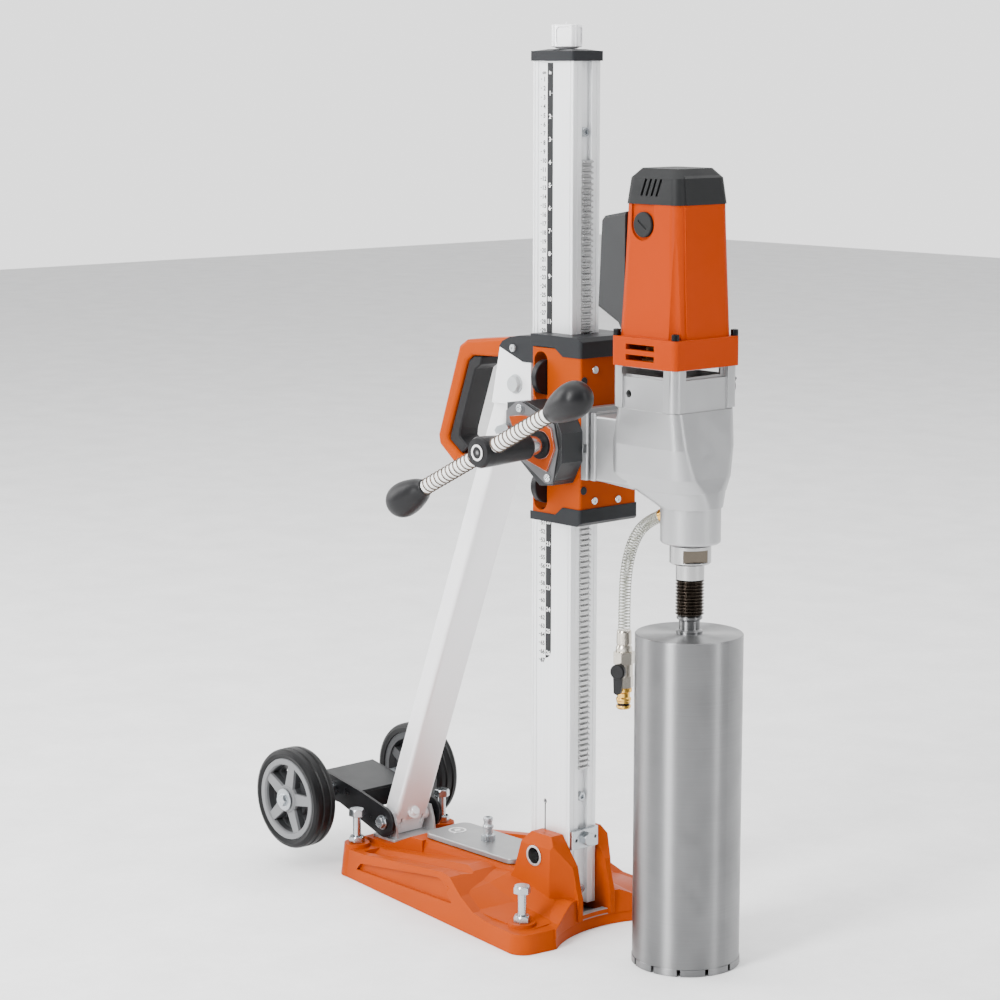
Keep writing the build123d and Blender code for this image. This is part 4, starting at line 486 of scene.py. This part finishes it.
def paint_nodes(materials):
    for name, key in NODE_MATERIALS.items():
        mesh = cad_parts[name].data
        mesh.materials.clear()
        mesh.materials.append(materials[key])


# ------------------------------------------------------------------ new pieces
def piece(name, mesh, material, body):
    obj = bpy.data.objects.new(name, mesh)
    bpy.context.collection.objects.link(obj)
    obj.data.materials.append(material)
    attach(obj, body)
    return obj


HOSE_ROUTE = [
    (155.0, 0.0, 496.0), (133.0, 0.0, 487.0), (113.0, 0.0, 466.0), (102.0, 0.0, 437.0),
    (98.0, 0.0, 404.0), (98.0, 0.0, 358.8),
]


HOSE_RADIUS = 0.0069               # the tube as drawn, just inside its nominal size


def hose_curve(name, depth):
    curve = bpy.data.curves.new(name, "CURVE")
    curve.dimensions = "3D"
    spline = curve.splines.new("NURBS")
    spline.points.add(len(HOSE_ROUTE) - 1)
    for point, place in zip(spline.points, HOSE_ROUTE):
        point.co = (*(c * MM for c in place), 1.0)
    spline.order_u = 3
    spline.use_endpoint_u = True
    spline.resolution_u = 16
    curve.bevel_depth = depth
    curve.bevel_resolution = 8
    return curve


def centre_line():
    """Points along the hose's own spline."""
    curve = hose_curve("hose_line", 0.0)
    obj = bpy.data.objects.new("hose_line", curve)
    bpy.context.collection.objects.link(obj)
    bpy.context.view_layer.update()
    mesh = bpy.data.meshes.new_from_object(obj)
    points = [v.co.copy() for v in mesh.vertices]
    bpy.data.objects.remove(obj)
    return points


def along(points, share):
    """Place and direction at a share of a line's length."""
    lengths = [0.0]
    for a, b in zip(points, points[1:]):
        lengths.append(lengths[-1] + (b - a).length)
    goal = share * lengths[-1]
    index = 0
    while index < len(points) - 2 and lengths[index + 1] < goal:
        index += 1
    span = lengths[index + 1] - lengths[index]
    a, b = points[index], points[index + 1]
    return a.lerp(b, (goal - lengths[index]) / span), (b - a).normalized()


def swept_wire(bm, places, radius, sides=6):
    """A thin closed-section wire along a list of places."""
    rings = []
    for index, place in enumerate(places):
        before = places[max(0, index - 1)]
        after = places[min(len(places) - 1, index + 1)]
        way = (after - before).normalized()
        if rings:
            across = (across - way * across.dot(way)).normalized()
        else:
            across = way.orthogonal().normalized()
        other = way.cross(across)
        ring = []
        for side in range(sides):
            angle = 2 * math.pi * side / sides
            ring.append(bm.verts.new(place + radius * (math.cos(angle) * across + math.sin(angle) * other)))
        rings.append(ring)
    for a, b in zip(rings, rings[1:]):
        for side in range(sides):
            bm.faces.new((a[side], a[(side + 1) % sides], b[(side + 1) % sides], b[side]))


def braid_mesh(points, length, radius=0.0059, pitch=0.0070, starts=2):
    """Crossing helical threads in the hose wall."""
    bm = bmesh.new()
    steps = int(length / pitch * 14)
    for hand in (1, -1):
        for start in range(starts):
            places = []
            for step in range(steps + 1):
                share = 0.01 + 0.98 * step / steps
                centre, way = along(points, share)
                side = Vector((0, 1, 0))
                up = way.cross(side).normalized()
                angle = 2 * math.pi * (hand * share * length / pitch + start / starts)
                around = math.cos(angle) * side + math.sin(angle) * up
                places.append(centre + (radius + hand * 0.0002) * around)
            swept_wire(bm, places, 0.00045, 5)
    mesh = bpy.data.meshes.new("hose_braid")
    bm.to_mesh(mesh)
    bm.free()
    mesh.shade_smooth()
    return mesh


def clear_hose_material():
    t = Tree("clear_hose")
    fog = t.noise(500, 3, 0.6)
    tint = t.mix(t.ranged(fog, 0, 1), (0.95, 0.96, 0.94), (0.99, 0.99, 0.98))
    t.link(tint, t.shader.inputs["Base Color"])
    t.link(t.ranged(fog, 0.04, 0.10), t.shader.inputs["Roughness"])
    t.shader.inputs["Transmission Weight"].default_value = 1.0
    t.shader.inputs["IOR"].default_value = 1.12
    return t.material


def build_hose(materials):
    points = centre_line()
    length = sum((b - a).length for a, b in zip(points, points[1:]))
    hose = bpy.data.objects.new("hose_tube", hose_curve("hose_tube", HOSE_RADIUS))
    bpy.context.collection.objects.link(hose)
    hose.data.materials.append(clear_hose_material())
    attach(hose, "carriage")
    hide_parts("water_hose")
    threads = braid_mesh(points, length)
    braid = piece("hose_braid", threads, materials["thread_white"], "carriage")


def tick_mesh(ticks, y):
    """Flat marks: each is (x low, x high, z, half height)."""
    bm = bmesh.new()
    for x0, x1, z, half in ticks:
        corners = [(x0, y, z - half), (x1, y, z - half), (x1, y, z + half), (x0, y, z + half)]
        bm.faces.new([bm.verts.new(c) for c in corners])
    mesh = bpy.data.meshes.new("ticks")
    bm.to_mesh(mesh)
    bm.free()
    return mesh


def figures(name, lines, pitch, x, z, y, size, material):
    """A column of figures, one to a line, printed on the label."""
    curve = bpy.data.curves.new(name, "FONT")
    curve.body = "\n".join(lines)
    curve.size = size
    curve.space_line = pitch / size
    curve.align_x = "CENTER"
    curve.align_y = "TOP_BASELINE"
    curve.offset = 0.00022
    curve.resolution_u = 3
    obj = bpy.data.objects.new(name, curve)
    bpy.context.collection.objects.link(obj)
    obj.location = (x, y, z - 0.35 * size)
    obj.rotation_euler = (math.radians(90), 0, 0)
    obj.data.materials.append(material)
    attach(obj, "column")


CENTIMETRE = 0.010
CENTIMETRES = 67                   # last figure of the centimetre scale
FIGURE_SIZE = 0.0070
UNIT_SIZE = 0.0052


def build_scale(materials):
    low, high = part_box("scale_label")
    y = low.y - 0.00004
    top = high.z - 0.008
    inches = int((top - low.z) / INCH)
    black, white = [], []
    for centimetre in range(1, CENTIMETRES + 1):
        black.append((-0.0196, -0.0174, top - centimetre * CENTIMETRE, 0.00038))
    for inch in range(1, inches + 1):
        white.append((-0.0019, -0.0006, top - inch * INCH, 0.0004))
    ink, white_ink = materials["ink"], materials["white_ink"]
    figures("centimetre_figures", [f"{n}" for n in range(1, CENTIMETRES + 1)], CENTIMETRE, -0.0136,
            top - CENTIMETRE, y, FIGURE_SIZE, ink)
    figures("inch_figures", [f"{n}" for n in range(1, inches + 1)], INCH, -0.0046, top - INCH, y,
            FIGURE_SIZE, white_ink)
    figures("centimetre_unit", ["cm"], CENTIMETRE, -0.0140, top - 0.0025, y, UNIT_SIZE, ink)
    figures("inch_unit", ["in"], CENTIMETRE, -0.0046, top - 0.0025, y, UNIT_SIZE, white_ink)
    piece("centimetre_ticks", tick_mesh(black, y), ink, "column")
    piece("inch_ticks", tick_mesh(white, y), white_ink, "column")


HANDLE_CENTRE = Vector((0.0466, -0.1623, 0.5707))
HANDLE_ANGLE = math.radians(26.7)


def spring_mesh(side, start=0.0170, end=0.1118, radius=0.00865, wire=0.00072, pitch=0.0071):
    """Open coil wound round one arm of the cross bar."""
    along_bar = side * Vector((math.cos(HANDLE_ANGLE), 0, math.sin(HANDLE_ANGLE)))
    across = Vector((0, 1, 0))
    other = along_bar.cross(across)
    steps = int((end - start) / pitch * 30)
    places = []
    for step in range(steps + 1):
        share = step / steps
        angle = 2 * math.pi * share * (end - start) / pitch
        ring = radius * (math.cos(angle) * across + math.sin(angle) * other)
        places.append(HANDLE_CENTRE + (start + share * (end - start)) * along_bar + ring)
    bm = bmesh.new()
    swept_wire(bm, places, wire, 8)
    for end_ring in (bm.verts[:8], bm.verts[-8:]):
        bm.faces.new(end_ring)
    bmesh.ops.recalc_face_normals(bm, faces=bm.faces[:])
    mesh = bpy.data.meshes.new("handle_spring")
    bm.to_mesh(mesh)
    bm.free()
    mesh.shade_smooth()
    return mesh


def build_springs(materials):
    for label, side in (("high", 1), ("low", -1)):
        piece(f"handle_spring_{label}", spring_mesh(side), materials["wire"], "feed_handle")


def build_all():
    materials = make_materials()
    make_camera()
    make_stage()
    build_hose(materials)
    paint_nodes(materials)
    build_scale(materials)
    build_springs(materials)


build_all()
